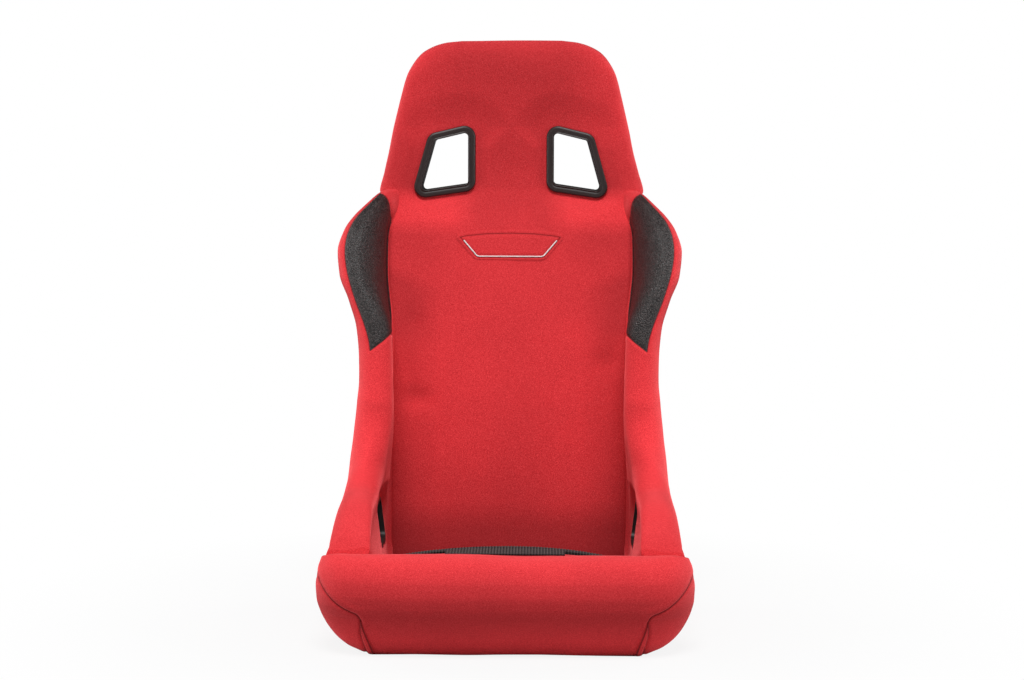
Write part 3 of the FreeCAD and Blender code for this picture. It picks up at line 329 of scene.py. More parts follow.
# Materials.
class Nodes:
    """Short names for building a node material."""

    def __init__(self, name):
        self.mat = bpy.data.materials.new(name)
        self.mat.use_nodes = True
        self.tree = self.mat.node_tree
        self.shader = self.tree.nodes["Principled BSDF"]
        self.coords = self.tree.nodes.new("ShaderNodeTexCoord").outputs["Object"]

    def add(self, kind, links=None, **values):
        node = self.tree.nodes.new(kind)
        for key, value in values.items():
            if key in node.inputs:
                node.inputs[key].default_value = value
            else:
                setattr(node, key, value)
        for key, source in (links or {}).items():
            self.tree.links.new(source, node.inputs[key])
        return node

    def noise(self, scale, detail=3.0, rough=0.55):
        return self.add("ShaderNodeTexNoise", {"Vector": self.coords}, Scale=scale,
                        Detail=detail, Roughness=rough).outputs["Fac"]

    def ramp(self, source, stops):
        """Colour by value. A stop is (place, colour) or (place, shade of grey)."""
        node = self.add("ShaderNodeValToRGB", {"Fac": source})
        stops = [(place, tint if isinstance(tint, tuple) else (tint,) * 3) for place, tint in stops]
        for element, (place, tint) in zip(node.color_ramp.elements, (stops[0], stops[-1])):
            element.position = place
            element.color = (*tint, 1)
        for place, tint in stops[1:-1]:
            node.color_ramp.elements.new(place).color = (*tint, 1)
        return node.outputs["Color"]

    def wave(self, scale, direction, distortion=0.0):
        return self.add("ShaderNodeTexWave", {"Vector": self.coords}, Scale=scale,
                        Distortion=distortion, bands_direction=direction).outputs["Fac"]

    def cells(self, scale, **values):
        return self.add("ShaderNodeTexVoronoi", {"Vector": self.coords}, Scale=scale,
                        **values).outputs["Distance"]

    def stored(self, name):
        return self.add("ShaderNodeAttribute", attribute_name=name).outputs["Fac"]

    def put(self, socket, value):
        """Sets a socket to a number or colour, or links an output to it."""
        if isinstance(value, (int, float)):
            socket.default_value = value
        elif isinstance(value, tuple):
            socket.default_value = (*value, 1)
        else:
            self.tree.links.new(value, socket)

    def math(self, kind, *values):
        node = self.add("ShaderNodeMath", operation=kind)
        for socket, value in zip(node.inputs, values):
            self.put(socket, value)
        return node.outputs[0]

    def mix(self, fac, a, b, blend="MIX"):
        node = self.add("ShaderNodeMix", data_type="RGBA", blend_type=blend)
        for key, value in ((0, fac), (6, a), (7, b)):
            self.put(node.inputs[key], value)
        return node.outputs[2]

    def bump(self, height, strength, distance, under=None):
        links = {"Height": height}
        if under is not None:
            links["Normal"] = under
        node = self.add("ShaderNodeBump", links, Strength=strength, Distance=distance)
        return node.outputs["Normal"]

    def set(self, **values):
        """Sets or links sockets of the material's shader."""
        for key, value in values.items():
            self.put(self.shader.inputs[key.replace("_", " ")], value)
        return self.mat

    def blended(self, fac, other):
        """Shows another shader in place of the first one where fac is 1."""
        both = self.add("ShaderNodeMixShader", {0: fac, 1: self.shader.outputs[0],
                                                2: other.outputs[0]})
        self.tree.links.new(both.outputs[0], self.tree.nodes["Material Output"].inputs["Surface"])
        return self.mat


RED_DEEP = (0.40, 0.013, 0.017)
RED_MID = (0.57, 0.027, 0.033)
RED_LIGHT = (0.74, 0.062, 0.070)
KNIT_LOOK = dict(Roughness=0.92, Specular_IOR_Level=0.15, Sheen_Weight=0.95, Sheen_Roughness=0.42,
                 Sheen_Tint=(1.0, 0.16, 0.17))

# Painted light and shade by height, as a colour factor: lighter where the surfaces face the lamp
# above, darker where they are shaded.
BACK_PAINTED_LIGHT = [(0.09, 0.68), (0.119, 0.74), (0.165, 1.16), (0.26, 1.30), (0.388, 1.18), (0.52, 1.08),
             (0.64, 0.87), (0.75, 0.85)]
SIDE_PAINTED_LIGHT = [(0.10, 1.0), (0.16, 1.05), (0.23, 1.18), (0.33, 1.28), (0.50, 1.12), (0.65, 1.0)]
ROLL_PAINTED_LIGHT = [(0.012, 1.08), (0.026, 1.18), (0.065, 0.78), (0.105, 0.87), (0.128, 1.06),
             (0.141, 1.14), (0.52, 1.08), (0.64, 0.87)]
# Painted shade by width for the lower back: darker beside the bolsters, where they shade it.
BESIDE_PAINTED_SHADE = [(0.112, 1.0), (0.158, 0.81)]
# Painted highlights on the shoulders, where they face the lamp, and at the sides of the head:
# heights, widths, gain.
PAINTED_HIGHLIGHTS = [((0.585, 0.612, 0.640, 0.664), (0.055, 0.095), 0.36),
             ((0.69, 0.76, 0.86, 0.95), (0.085, 0.140), 0.20)]


def knit_nodes(n, height_light, beside=None):
    """Colour and bump of the short-pile red knit. Painted light and shade go by height, painted
    shade and highlights by width.
    """
    pile = n.noise(1500, 2.0, 0.6)
    tuft = n.noise(640, 3.0, 0.6)
    cloud = n.noise(9, 3.0, 0.5)
    grain = n.ramp(n.math("ADD", n.math("MULTIPLY", pile, 0.6), n.math("MULTIPLY", tuft, 0.4)),
                   [(0.36, RED_DEEP), (0.50, RED_MID), (0.66, RED_LIGHT)])
    clouded = n.mix(1.0, grain, n.ramp(cloud, [(0.3, 0.93), (0.7, 1.04)]), "MULTIPLY")
    place = n.add("ShaderNodeSeparateXYZ", {"Vector": n.coords})
    height = place.outputs["Z"]
    # Painted light and shade by height.
    painted_light = n.ramp(height, height_light)
    # Painted shade on the lower back beside the bolsters, and painted highlights on the shoulders
    # and at the sides of the head.
    if beside:
        across = n.math("ABSOLUTE", place.outputs["X"])
        low = n.ramp(height, [(0.50, 1), (0.60, 0)])
        painted_light = n.math("MULTIPLY", painted_light, n.ramp(n.math("MULTIPLY", across, low), beside))
        # Painted highlights on the shoulders and at the sides of the head.
        for heights, widths, gain in PAINTED_HIGHLIGHTS:
            band = n.ramp(height, list(zip(heights, (0, 1, 1, 0))))
            outer = n.ramp(across, list(zip(widths, (0, 1))))
            highlight_part = n.math("MULTIPLY", n.math("MULTIPLY", band, outer), gain)
            painted_light = n.math("MULTIPLY", painted_light, n.math("ADD", highlight_part, 1.0))
    normal = n.bump(tuft, 0.35, 0.0009, n.bump(pile, 0.45, 0.0007))
    return n.mix(1.0, clouded, painted_light, "MULTIPLY"), normal


def make_knit():
    """The red knit of the back and head."""
    n = Nodes("red_knit")
    colour, normal = knit_nodes(n, BACK_PAINTED_LIGHT, BESIDE_PAINTED_SHADE)
    return n.set(Base_Color=colour, Normal=normal, **KNIT_LOOK)


def sewn_line(n, colour, name, width=0.6):
    """Darkens the colour along a seam, where the stored distance changes sign."""
    away = n.math("ABSOLUTE", n.stored(name))
    shade = n.ramp(n.math("DIVIDE", away, 4.0 * width),
                   [(0.12, (0.26, 0.22, 0.22)), (0.42, (0.84, 0.82, 0.82)), (1.0, 1)])
    return n.mix(1.0, colour, shade, "MULTIPLY")


def make_sewn():
    """The red knit of the roll and the raised panel, with seams."""
    n = Nodes("red_knit_sewn")
    colour, normal = knit_nodes(n, ROLL_PAINTED_LIGHT)
    return n.set(Base_Color=sewn_line(n, colour, "seam"), Normal=normal, **KNIT_LOOK)


def make_bolster():
    """Red knit with a grained black patch where the stored distance is below zero."""
    n = Nodes("red_knit_and_grain")
    colour, normal = knit_nodes(n, SIDE_PAINTED_LIGHT)
    n.set(Base_Color=sewn_line(n, colour, "patch"), Normal=normal, **KNIT_LOOK)
    cells = n.cells(640.0, Randomness=0.9, feature="SMOOTH_F1")
    skin = n.bump(cells, 1.0, -0.0012)
    skin = n.bump(n.noise(240, 2.0), 0.35, 0.0012, skin)
    dark = n.mix(n.ramp(cells, [(0.16, 0), (0.42, 1)]), (0.078, 0.058, 0.056),
                 (0.0055, 0.0036, 0.0035))
    vinyl = n.add("ShaderNodeBsdfPrincipled", {"Base Color": dark, "Normal": skin}, Roughness=0.46)
    vinyl.inputs["Specular IOR Level"].default_value = 0.42
    return n.blended(n.math("LESS_THAN", n.stored("patch"), 0.0), vinyl)


def make_ribbed():
    """The cushion's black ribbed fabric: dark between the ribs, threads on them."""
    n = Nodes("ribbed_fabric")
    weave = n.wave(420.0, "Y", 0.6)
    ribs = n.wave(math.pi / 10 / (RIB * MM), "X")
    ribs.node.inputs["Phase Offset"].default_value = math.pi
    fuzz = n.noise(1800)
    thread = n.ramp(n.math("MULTIPLY", n.math("ADD", weave, fuzz), 0.5),
                    [(0.25, (0.022, 0.017, 0.016)), (0.75, (0.075, 0.060, 0.058))])
    colour = n.mix(n.ramp(ribs, [(0.25, 0), (0.7, 1)]), (0.004, 0.003, 0.003), thread)
    return n.set(Base_Color=colour, Roughness=0.85, Normal=n.bump(weave, 0.25, 0.0004),
                 Sheen_Weight=0.05, Specular_IOR_Level=0.2)


def make_plain(name, low, high, rough, grain, bump, metallic=0.0):
    """Moulded plastic, paint, zinc and similar: two close tones, fine grain, soft wear."""
    n = Nodes(name)
    fine = n.noise(grain, 3.0)
    slow = n.noise(35, 2.0)
    colour = n.mix(slow, low, high)
    roughness = n.math("ADD", rough - 0.05, n.math("MULTIPLY", fine, 0.12))
    return n.set(Base_Color=colour, Roughness=roughness, Metallic=metallic, Specular_IOR_Level=0.5,
                 Normal=n.bump(fine, bump, 0.0003))


def make_textile(name, pattern, stops, rough, strength, distance, sheen=0.0):
    """A cloth whose colour and bump both come from one pattern."""
    n = Nodes(name)
    height = pattern(n)
    return n.set(Base_Color=n.ramp(height, stops), Roughness=rough, Sheen_Weight=sheen,
                 Normal=n.bump(height, strength, distance))


KNIT = make_knit()
BOLSTER = make_bolster()
SEWN = make_sewn()
RIBBED = make_ribbed()
PLASTIC = make_plain("black_plastic", (0.013, 0.0095, 0.009), (0.021, 0.016, 0.015),
                     0.40, 1400, 0.20)
MOULDED = make_plain("moulded_bezel", (0.011, 0.0045, 0.004), (0.017, 0.008, 0.0075),
                     0.48, 1400, 0.20)
PAINT = make_plain("frame_paint", (0.012, 0.012, 0.012), (0.02, 0.02, 0.02), 0.48, 900, 0.25)
ZINC = make_plain("zinc_steel", (0.55, 0.55, 0.53), (0.66, 0.66, 0.65), 0.34, 700, 0.10, 0.95)
WEBBING = make_textile(
    "webbing", lambda n: n.math("MULTIPLY", n.wave(160.0, "X", 0.3), n.wave(110.0, "Y", 0.3)),
    [(0.1, (0.012, 0.012, 0.013)), (0.8, (0.05, 0.05, 0.055))], 0.7, 0.4, 0.0005)
TAPE = make_textile("tape", lambda n: n.cells(900.0), [(0.1, 0.008), (0.7, 0.03)],
                    0.9, 0.6, 0.0006)
LINING = make_textile("lining", lambda n: n.noise(900, 4.0),
                      [(0.3, (0.018, 0.018, 0.019)), (0.7, (0.05, 0.05, 0.052))],
                      0.95, 0.4, 0.0008, 0.2)
THREAD = make_textile("white_thread", lambda n: n.wave(700.0, "DIAGONAL", 1.0),
                      [(0.1, (0.62, 0.50, 0.50)), (0.8, (0.90, 0.84, 0.84))],
                      0.6, 0.4, 0.0003, 0.2)


BEZELS = ("shoulder_bezel_right", "shoulder_bezel_left", "rear_bezel_right", "rear_bezel_left",
          "lap_bezel_right", "lap_bezel_left", "crotch_bezel")
for material, names in (
        (PAINT, ("base_ring", "back_hoop", "side_tube_right", "side_tube_left",
                 "cross_tube_lower", "cross_tube_upper", "side_plate_right", "side_plate_left")),
        (ZINC, ("mount_bushes", "mount_eyelets", "webbing_hooks")),
        (WEBBING, ("seat_webbing", "back_webbing")), (TAPE, ("hook_tapes", "loop_tapes")),
        (PLASTIC, BEZELS)):
    for name in names:
        dress(nodes[name], material)
for name in BEZELS:
    soften = nodes[name].modifiers.new("soft_edge", "BEVEL")
    soften.width = 0.0021
    soften.segments = 4
    soften.limit_method = "ANGLE"
    soften.angle_limit = math.radians(40)

# Back and head: half width by height, and how much of its depth is left in the top curve.
SHELL_Z = [3, 45, 300, 440, 520, 560, 600, 628, 640, 650, 657, 664, 672, 682, 700, 720, 760, 805,
           843, 862, 879, 890, 897, 900]
SHELL_HALF = [189, 189, 189.5, 190, 197, 199, 199, 201, 206, 212, 215, 214, 211.8, 208.6, 203.9,
              198.8, 190.5, 180.5, 170.5, 160.5, 146.5, 128.5, 107, 83]
SHELL_T = [1] * 18 + [0.985, 0.935, 0.82, 0.65, 0.43, 0.2]
# The front half of a section, as parts of its half width and half depth.
TORSO_MARKS = [(0, 1), (.3, 1), (.58, 1), (.8, 1), (.945, .985), (.99, .9), (1, .6), (1, 0)]
HEAD_MARKS = [(0, 1), (.3, 1), (.58, 1), (.79, .992), (.89, .92), (.95, .74), (.986, .42), (1, 0)]


def shell_row(z, count):
    """One level section of the back or head."""
    half = curve_at(SHELL_Z, SHELL_HALF, z)
    reach = thickness(z) / 2 * curve_at(SHELL_Z, SHELL_T, z)
    centre = thickness(z) / 2
    head = ease(z, 640, 676)
    marks = np.array(TORSO_MARKS) * (1 - head) + np.array(HEAD_MARKS) * head
    marks = np.vstack([marks, marks[-2::-1] * [1, -1]])
    x = half * marks[:, 0]
    y = front(x, z) + centre - reach * marks[:, 1]
    right = np.stack([x, y], axis=1)
    left = right[1:-1][::-1] * [-1, 1]
    ring = smooth_line(np.vstack([right, left]), count, True)
    return np.column_stack([ring, np.full(count, z)])


def swell(x, z):
    """How far the padding below the shoulder slots stands out."""
    return 7.5 * bell(np.abs(x), 120, 42) * ease(z, 650, 604) * ease(z, 450, 600)


levels = np.concatenate([np.linspace(3, 640, 215), np.linspace(642.5, 860, 88),
                         900 - 40 * (1 - np.linspace(0.02, 1, 24)) ** 1.8])
shell = np.array([shell_row(z, 360) for z in levels])
sx, sy, sz = np.moveaxis(shell, -1, 0)
out = surface_normals(shell)
face = out[..., 1] < -0.3
lift = waves(shell, 3, (260, 120, 60), (0.9, 0.35, 0.12))
lift += swell(sx, sz) * face
# Middle in x and z, width, height and rise of the hollows and rises beside the small of the back
# and of three soft dents.
HOLLOWS = [(-176, 395, 26, 60, -2.2), (176, 395, 26, 60, -2.2), (-150, 300, 40, 90, 1.2),
           (150, 300, 40, 90, 1.2), (-148, 328, 24, 18, -6.0), (-156, 447, 20, 26, -4.5),
           (154, 386, 22, 20, -4.5)]
for x, z, wide, tall, rise in HOLLOWS:
    lift += rise * bell(sx, x, wide) * bell(sz, z, tall) * face
shell += out * lift[..., None]

# The right shoulder slot in x and z, and the flat face across it, square to the way through it.
SLOT = np.array([(70, 751), (124, 738), (147, 656), (70, 667)], float)
cx, cz = SLOT.mean(axis=0)
slope_x = (front(cx + 30, cz) - front(cx - 30, cz)) / 60
slope_z = (front(cx, cz + 30) - front(cx, cz - 30)) / 60
way = np.array([0, -1, slope_z])
way /= np.linalg.norm(way)


def slot_face(x, z):
    """Y of the flat face across a slot."""
    return front(cx, cz) + slope_x * (np.abs(x) - cx) + slope_z * (z - cz)


def grown(outline, by):
    """A polygon about the slot's middle with every side moved out."""
    sides = []
    for i in range(len(outline)):
        a, b = outline[i], outline[(i + 1) % len(outline)]
        n = np.array([b[1] - a[1], a[0] - b[0]]) / np.linalg.norm(b - a)
        n = n if n @ (a - [cx, cz]) > 0 else -n
        sides.append((n, n @ a + by))
    return np.array([np.linalg.solve([sides[i - 1][0], sides[i][0]], [sides[i - 1][1], sides[i][1]])
                     for i in range(len(sides))])


# The cover is drawn in round the slots, to just below the moulded rims, and from further away
# above them.
RIM_OUT, UNDER_RIM = 10.5, 1.2
rim = rounded(grown(SLOT, RIM_OUT), 6 + RIM_OUT)
away = signed(np.stack([np.abs(sx), sz], axis=-1), rim)
depth = sy - front(sx, sz)
fore_face, aft_face = depth < 8, depth > 48
for offset, chosen, reach in ((UNDER_RIM, fore_face, 26.0),
                              (BACK_DEPTH - UNDER_RIM, aft_face, 30.0)):
    level = slot_face(sx, sz) + offset
    wide = reach + 34 * np.clip((sz - 726) / 34, 0, 1)
    sy += (level - sy) * ease(away, 1.5 + wide, 1.5) * chosen
back_shell = grid_mesh("back_and_head_cover", shell, KNIT)
hole = rounded(grown(SLOT, 5.0), 11)
for side in (1, -1):
    plane = np.column_stack([side * hole[:, 0], slot_face(hole[:, 0], hole[:, 1]), hole[:, 1]])
    cut_away(back_shell, prism(plane + way * 30, way * -150))

# Rounded moulding and inner lip on each slot's bezel: distance out from the slot, and height
# above the bezel's flat face. Y of that face is BEZEL_FACE times (x, z, 1).
BEZEL_FACE = (-0.1768, 0.0059, 247.95)
MOULDING = [(0.15, -1.0), (0.25, 0.9), (0.8, 1.7), (1.5, 1.7), (2.1, 1.0), (2.6, 0.35),
            (3.2, 0.25), (4.2, 0.85), (6.0, 1.4), (8.4, 1.4), (10.4, 0.9), (11.7, -0.1),
            (12.3, -1.4)]
rings = []
for out_by, high in MOULDING:
    corners = rounded(grown(SLOT, out_by), 6.0 + out_by, 12)
    ring = []
    for i, spot in enumerate(corners):
        ring.append(spot)
        side = corners[(i + 1) % len(corners)] - spot
        if np.linalg.norm(side) > 12:
            ring += [spot + side * w for w in (0.03, 0.2, 0.4, 0.6, 0.8, 0.97)]
    ring = np.array(ring)
    level = BEZEL_FACE[0] * ring[:, 0] + BEZEL_FACE[1] * ring[:, 1] + BEZEL_FACE[2]
    rings.append(np.column_stack([ring[:, 0], level - high, ring[:, 1]]))
rings = np.array(rings).transpose(1, 0, 2)
moulding_right = grid_mesh("slot_moulding_right", rings, MOULDED, "ring")
moulding_left = mirrored(moulding_right, "slot_moulding_left")

# The front roll's half width and front by height; the bolsters' front ends follow them too.
ROLL_Z = [2, 12, 28, 46, 63, 80, 97, 114, 129, 140, 146, 149]
ROLL_HALF = [211, 233, 252, 264.5, 272, 276, 276.5, 275, 271.8, 267.6, 263.5, 259]
ROLL_FRONT = [-251, -260, -272, -285, -296, -304, -308, -306, -298, -287, -275, -262]

# Bolsters: a section swept down the back, round the hip and forward along the thigh.
# Each row: place, half width, low side, rise or reach of the ridge, foot, ridge part, and how
# far the inner wall stands out at its base and at three heights. Place is z in the wing, the
# angle in the fan and y in the thigh.
WING_TOP = 720.0
WING = [
    (720, 178, 176, -18, 166, .62, -8, -8, -7, -6),
    (690, 184, 182, -18, 172, .62, -8, -7, -6, -5),
    (672, 190, 188, -15, 178, .62, -7, -5, -4, -3),
    (664, 195, 194, -9, 184, .62, -6.5, -3, 0, 3),
    (657, 206, 203, 6, 192, .62, -6.5, -2, 3, 7),
    (650, 216.5, 211.5, 25, 200, .62, -6.5, -1, 5.5, 11),
    (640, 227.5, 221, 46, 205, .62, -7, 0, 8, 16.5),
    (628, 239, 228, 61.5, 208, .62, -5.5, 2, 11, 21.5),
    (620, 246, 232, 70, 210, .62, -3, 3.4, 13, 24.4),
    (595, 262, 240, 92, 214, .62, 4.5, 7.2, 17, 31),
    (565, 272, 244, 106, 216, .62, 7, 9, 19.5, 35.8),
    (530, 269, 243, 115, 216, .60, 7, 8.6, 16.5, 31),
    (490, 255, 238, 119, 214, .53, 3, 4, 6.5, 15),
    (450, 243, 234, 117, 214, .40, -1, -2, -5, -1),
    (400, 237, 231, 112, 214, .34, -2, -5, -9, -5),
    (360, 235.5, 230, 110, 214, .33, -2, -6, -10, -6)]
FAN = [
    (0, 238, 233, 86, 215, .33, -2, -6, -10, -6), (-20, 242, 238, 86, 217, .35, -2, -5, -8, -4),
    (-40, 247, 244, 88, 220, .40, 0, -1, -1, 1), (-56, 252, 246, 92, 224, .45, 0, 5, 6, 7),
    (-72, 255, 248, 100, 230, .48, 0, 8, 9, 10), (-90, 257, 248, 114, 236, .50, 0, 9, 10, 11)]
THIGH = [
    (-118, 259, 249, 206, 234, .50, 0, 9, 11, 12),
    (-168, 261.5, 250, 181, 228, .48, 0, 9, 10, 11),
    (-192, 262, 255, 166, 222, .47, 0, 9, 9, 9), (-213, 264, 260, 148, 215, .47, 0, 8, 7, 7)]
ARC = 2.62              # mm along the sweep to one degree of the fan
SIDE = 13               # points of a section along the floor, and along the back


def fan_reach(test, width=9):
    """How far from the fan's point the test first holds, degree by degree, corners eased."""
    turn = np.radians(angles)[:, None]
    r = np.arange(60, 520, 0.25)
    found = r[np.argmax(test(FAN_Y + np.cos(turn) * r, FAN_Z + np.sin(turn) * r), axis=1)]
    ends = np.concatenate([np.full(width, found[0]), found, np.full(width, found[-1])])
    kernel = np.hanning(2 * width + 1)
    return np.minimum(found, np.convolve(ends, kernel / kernel.sum(), mode="valid"))


angles = np.linspace(0, -90, 91)
crease_fan = fan_reach(lambda y, z: (y > front(INNER, z))
                       | (z < pad_side(np.minimum(y, PAD_REAR_Y))))
shell_fan = fan_reach(lambda y, z: (z < FLOOR_GAP) | (y > front(INNER, z) + thickness(z)))

WING_END = WING_TOP - FAN_Z
FAN_END = WING_END + 90 * ARC
table_s, table_v = [], []
for z, half, low, rise, foot, *shape in WING:
    table_s.append(WING_TOP - z)
    table_v.append((half, low, front(INNER, z) - rise - FAN_Y, foot, 0.0, *shape))
for a, half, low, ridge, foot, *shape in FAN:
    table_s.append(WING_END - a * ARC)
    table_v.append((half, low, ridge, foot, -a / 90, *shape))
for y, half, low, top, foot, *shape in THIGH:
    table_s.append(FAN_END + FAN_Y - y)
    table_v.append((half, low, FAN_Z - top, foot, 1.0, *shape))
table_v = np.array(table_v)


def bolster_row(s, count):
    """One section of the bolster: its points, which of them face front, and their height."""
    half, low, ridge_at, foot, kind, part, base, wall_low, wall_mid, wall_high = [
        curve_at(table_s, table_v[:, i], s) for i in range(10)]
    if s <= WING_END:
        z = WING_TOP - s
        crease = front(INNER, z)
        # Its depth shrinks towards the top, to stay inside the back.
        back = thickness(z) * (1 - 0.3 * np.clip((z - 648) / 30, 0, 1))
        rise = crease - FAN_Y - ridge_at
        root_y, root_z, up_y, up_z = crease, z, -1, 0
    elif s <= FAN_END:
        a = -(s - WING_END) / ARC
        crease = np.interp(-a, -angles, crease_fan)
        back = np.interp(-a, -angles, shell_fan) - crease
        rise = crease - ridge_at
        up_y, up_z = -math.cos(math.radians(a)), -math.sin(math.radians(a))
        root_y, root_z = FAN_Y - up_y * crease, FAN_Z - up_z * crease
    else:
        y = FAN_Y - (s - FAN_END)
        crease = pad_side(y)
        back = crease - FLOOR_GAP
        rise = FAN_Z - ridge_at - crease
        root_y, root_z, up_y, up_z = y, crease, 0, 1
    mix = lambda a, b: a + (b - a) * kind
    # Above the shoulder the bolster's end is buried in the back.
    buried = 12 * np.clip((WING_TOP - s - 652) / 20, 0, 1)
    ridge = INNER + part * (half - INNER)
    points = [(INNER + base - 5, -7 - buried), (INNER + base - 1, -1.5 - buried),
              (INNER + wall_low, .30 * rise),
              (INNER + wall_mid, .66 * rise), (INNER + wall_high, .91 * rise),
              (ridge, rise), (ridge + .55 * (half - ridge), .93 * rise),
              (ridge + .91 * (half - ridge), .74 * rise), (half, .46 * rise),
              (.5 * (half + low), -.02 * back), (low, -.40 * back),
              (low - mix(8, 3), -.74 * back), (foot + .56 * (low - foot), -.94 * back),
              (foot, -back)]
    line = smooth_line(points, count)
    root = INNER + base - 5
    floor = np.column_stack([np.linspace(foot, root, SIDE + 1)[1:], np.full(SIDE, -back)])
    wall = np.column_stack([np.full(SIDE, root), np.linspace(-back, -7, SIDE + 2)[1:-1]])
    # Which points face the sitter or the front: from the crease to the widest place.
    wide_at = int(np.argmin(np.linalg.norm(line - [half, .40 * rise], axis=1)))
    fore = np.zeros(count + 2 * SIDE, bool)
    fore[:wide_at] = True
    above = np.concatenate([line[:, 1], np.full(2 * SIDE, -back)])
    x, up = np.vstack([line, floor, wall]).T
    return np.column_stack([x, root_y + up_y * up, root_z + up_z * up]), fore, above


# The grained patch's outline, by where it shows in the front view. Its lower corner is sharp.
PATCH = [(130.5, 193.3), (127, 195), (123, 199), (121, 203.5), (120, 208), (119, 216), (112, 240),
         (98, 280), (98, 322), (112, 331), (119, 336), (124, 340.5), (139, 351.5), (141, 339),
         (151, 310), (160, 282), (164, 261), (164.2, 250), (161.4, 234), (152.6, 217.5),
         (142, 205), (135, 197.5)]
patch_line = smooth_line(PATCH[:12] + [(130, 345)], 90)
patch_line = np.vstack([patch_line, smooth_line(PATCH[12:] + [PATCH[0]], 110)])

s_rows = np.concatenate([np.linspace(0, 88, 56), np.linspace(90, FAN_END + 144.6, 400)])
rows, fores, aboves = zip(*[bolster_row(s, 190) for s in s_rows])
wing = np.array(rows)
wx, wy, wz = np.moveaxis(wing, -1, 0)
fore = np.array(fores)
# Drawn in level with the edging of the lap slot, inside and outside.
LAP_INNER, LAP_OUTER, LAP_REACH = 199.2, 248.2, 26
near = ease(signed(wing[..., 1:], box(-25, 109, 75, 183)), LAP_REACH, 0)
level = LAP_INNER + 0.12 * (wz - 146)
wx += (level - wx) * near * (wx < 216) * (wx > INNER - 4)
wx -= np.clip(wx - LAP_OUTER, 0, None) * near
# The front end tapers so that the roll's end covers it.
edge = (curve_at(ROLL_Z, ROLL_HALF, wz) - 1.4
        + np.clip(wy - ROLL_REAR, 0, None) * 0.16
        + np.clip(wz - ROLL_TOP, 0, 60) * 0.7)
over = wx - edge
soft = np.where(over > 3, over, np.where(over < -3, 0, (over + 3) ** 2 / 12))
wx -= soft * np.clip((-130 - wy) / 40, 0, 1)
out = surface_normals(wing)
out *= -np.sign(out[220, 60, 1])
d_patch = signed(seen(wing), patch_line) * BACK_PX
d_patch = np.where(fore & (np.array(aboves) > 1.5), d_patch, np.maximum(d_patch, 6.0))
# A groove at the patch's edge with a soft roll on each side.
lift = waves(wing, 11, (220, 90, 45), (1.0, 0.4, 0.12))
lift += 0.7 * bell(d_patch, 5, 4.0) + 0.5 * bell(d_patch, -5, 4.5) - 1.3 * bell(d_patch, 0, 1.7)
# Only the outer skin is uneven, not the faces against the back and the floor.
SKIN_POINTS = 176
contact = np.zeros(wing.shape[1])
contact[:SKIN_POINTS] = 1
contact[:8] = np.linspace(0, 1, 8)
contact[SKIN_POINTS - 8:SKIN_POINTS] = np.linspace(1, 0, 8)
wing += out * (lift * contact)[..., None]
# Its upper end stays under the back's cover.
deep = np.clip((wz - 657) / 7, 0, 1)
under = np.clip(front(wx, wz) + 10 - wy, 0, None)
wy += under * deep
wx -= np.clip(wx - 190, 0, None) * deep
bolster_right = grid_mesh("bolster_right", wing, BOLSTER)
mark(bolster_right, "patch", d_patch.ravel(), FAR)
bolster_left = mirrored(bolster_right, "bolster_left")

lap = rounded(box(-22.5, 111.5, 72.5, 180.5), 14)
for side, ob in ((1, bolster_right), (-1, bolster_left)):
    plane = np.column_stack([np.full(len(lap), side * 150.0), lap])
    cut_away(ob, prism(plane, (side * 150.0, 0, 0)))

# Front roll: a quarter of its level section, as parts of its half width and reach; squarer below.
ROLL_MARKS = [(1, 0), (.995, .22), (.955, .52), (.875, .78), (.75, .92), (.55, .985), (.28, 1),
              (0, 1)]
ROLL_SQUARE = [(1, 0), (.998, .26), (.975, .62), (.90, .88), (.77, .975), (.55, 1), (.28, 1),
               (0, 1)]


def roll_row(z, count):
    """One level section of the roll."""
    half = curve_at(ROLL_Z, ROLL_HALF, z)
    face = curve_at(ROLL_Z, ROLL_FRONT, z)
    square = np.clip((60 - z) / 50, 0, 1)
    marks = np.array(ROLL_MARKS) * (1 - square) + np.array(ROLL_SQUARE) * square
    right = np.column_stack([half * marks[:, 0], ROLL_REAR + (face - ROLL_REAR) * marks[:, 1]])
    left = right[:-1][::-1] * [-1, 1]
    line = smooth_line(np.vstack([right, left]), count)
    back_line = np.column_stack([np.linspace(-half, half, 62)[1:-1], np.full(60, ROLL_REAR)])
    ring = np.vstack([line, back_line])
    return np.column_stack([ring, np.full(len(ring), z)])


levels = np.concatenate([np.linspace(2, 138, 120),
                         ROLL_TOP - 11 * (1 - np.linspace(0.05, 1, 26)) ** 1.7])
roll = np.array([roll_row(z, 700) for z in levels])
# The flat top becomes a low crown that runs back under the cushion's tongue.
ends = roll[-1]
closing = []
for w in (0.94, 0.85, 0.72, 0.55, 0.35, 0.15):
    ring = ends.copy()
    ring[:, 1] = ROLL_REAR + (ends[:, 1] - ROLL_REAR) * w
    ring[:, 0] = ends[:, 0] * (1 - 0.10 * (1 - w))
    ring[:, 2] = ROLL_TOP + 1.2 * (1 - w)
    closing.append(ring)
roll = np.concatenate([roll, np.array(closing)])
rx, ry, rz = np.moveaxis(roll, -1, 0)
# The top falls away to the rear, less so in the part that carries the tongue.
fall = ease(np.abs(rx), 60, 110)
to_rear = np.clip((ry + 264) / 48, 0, 1)
limit = 150.2 - (5.0 + 6.5 * fall) * to_rear ** 1.3
over = rz - limit
rz -= np.where(over > -2, (over + 2) ** 2 / (over + 6).clip(4), 0) * (to_rear > 0)
out = surface_normals(roll)
out *= -np.sign(out[60, 350, 1])
shown = seen(roll)
shown[..., 0] = np.abs(shown[..., 0])
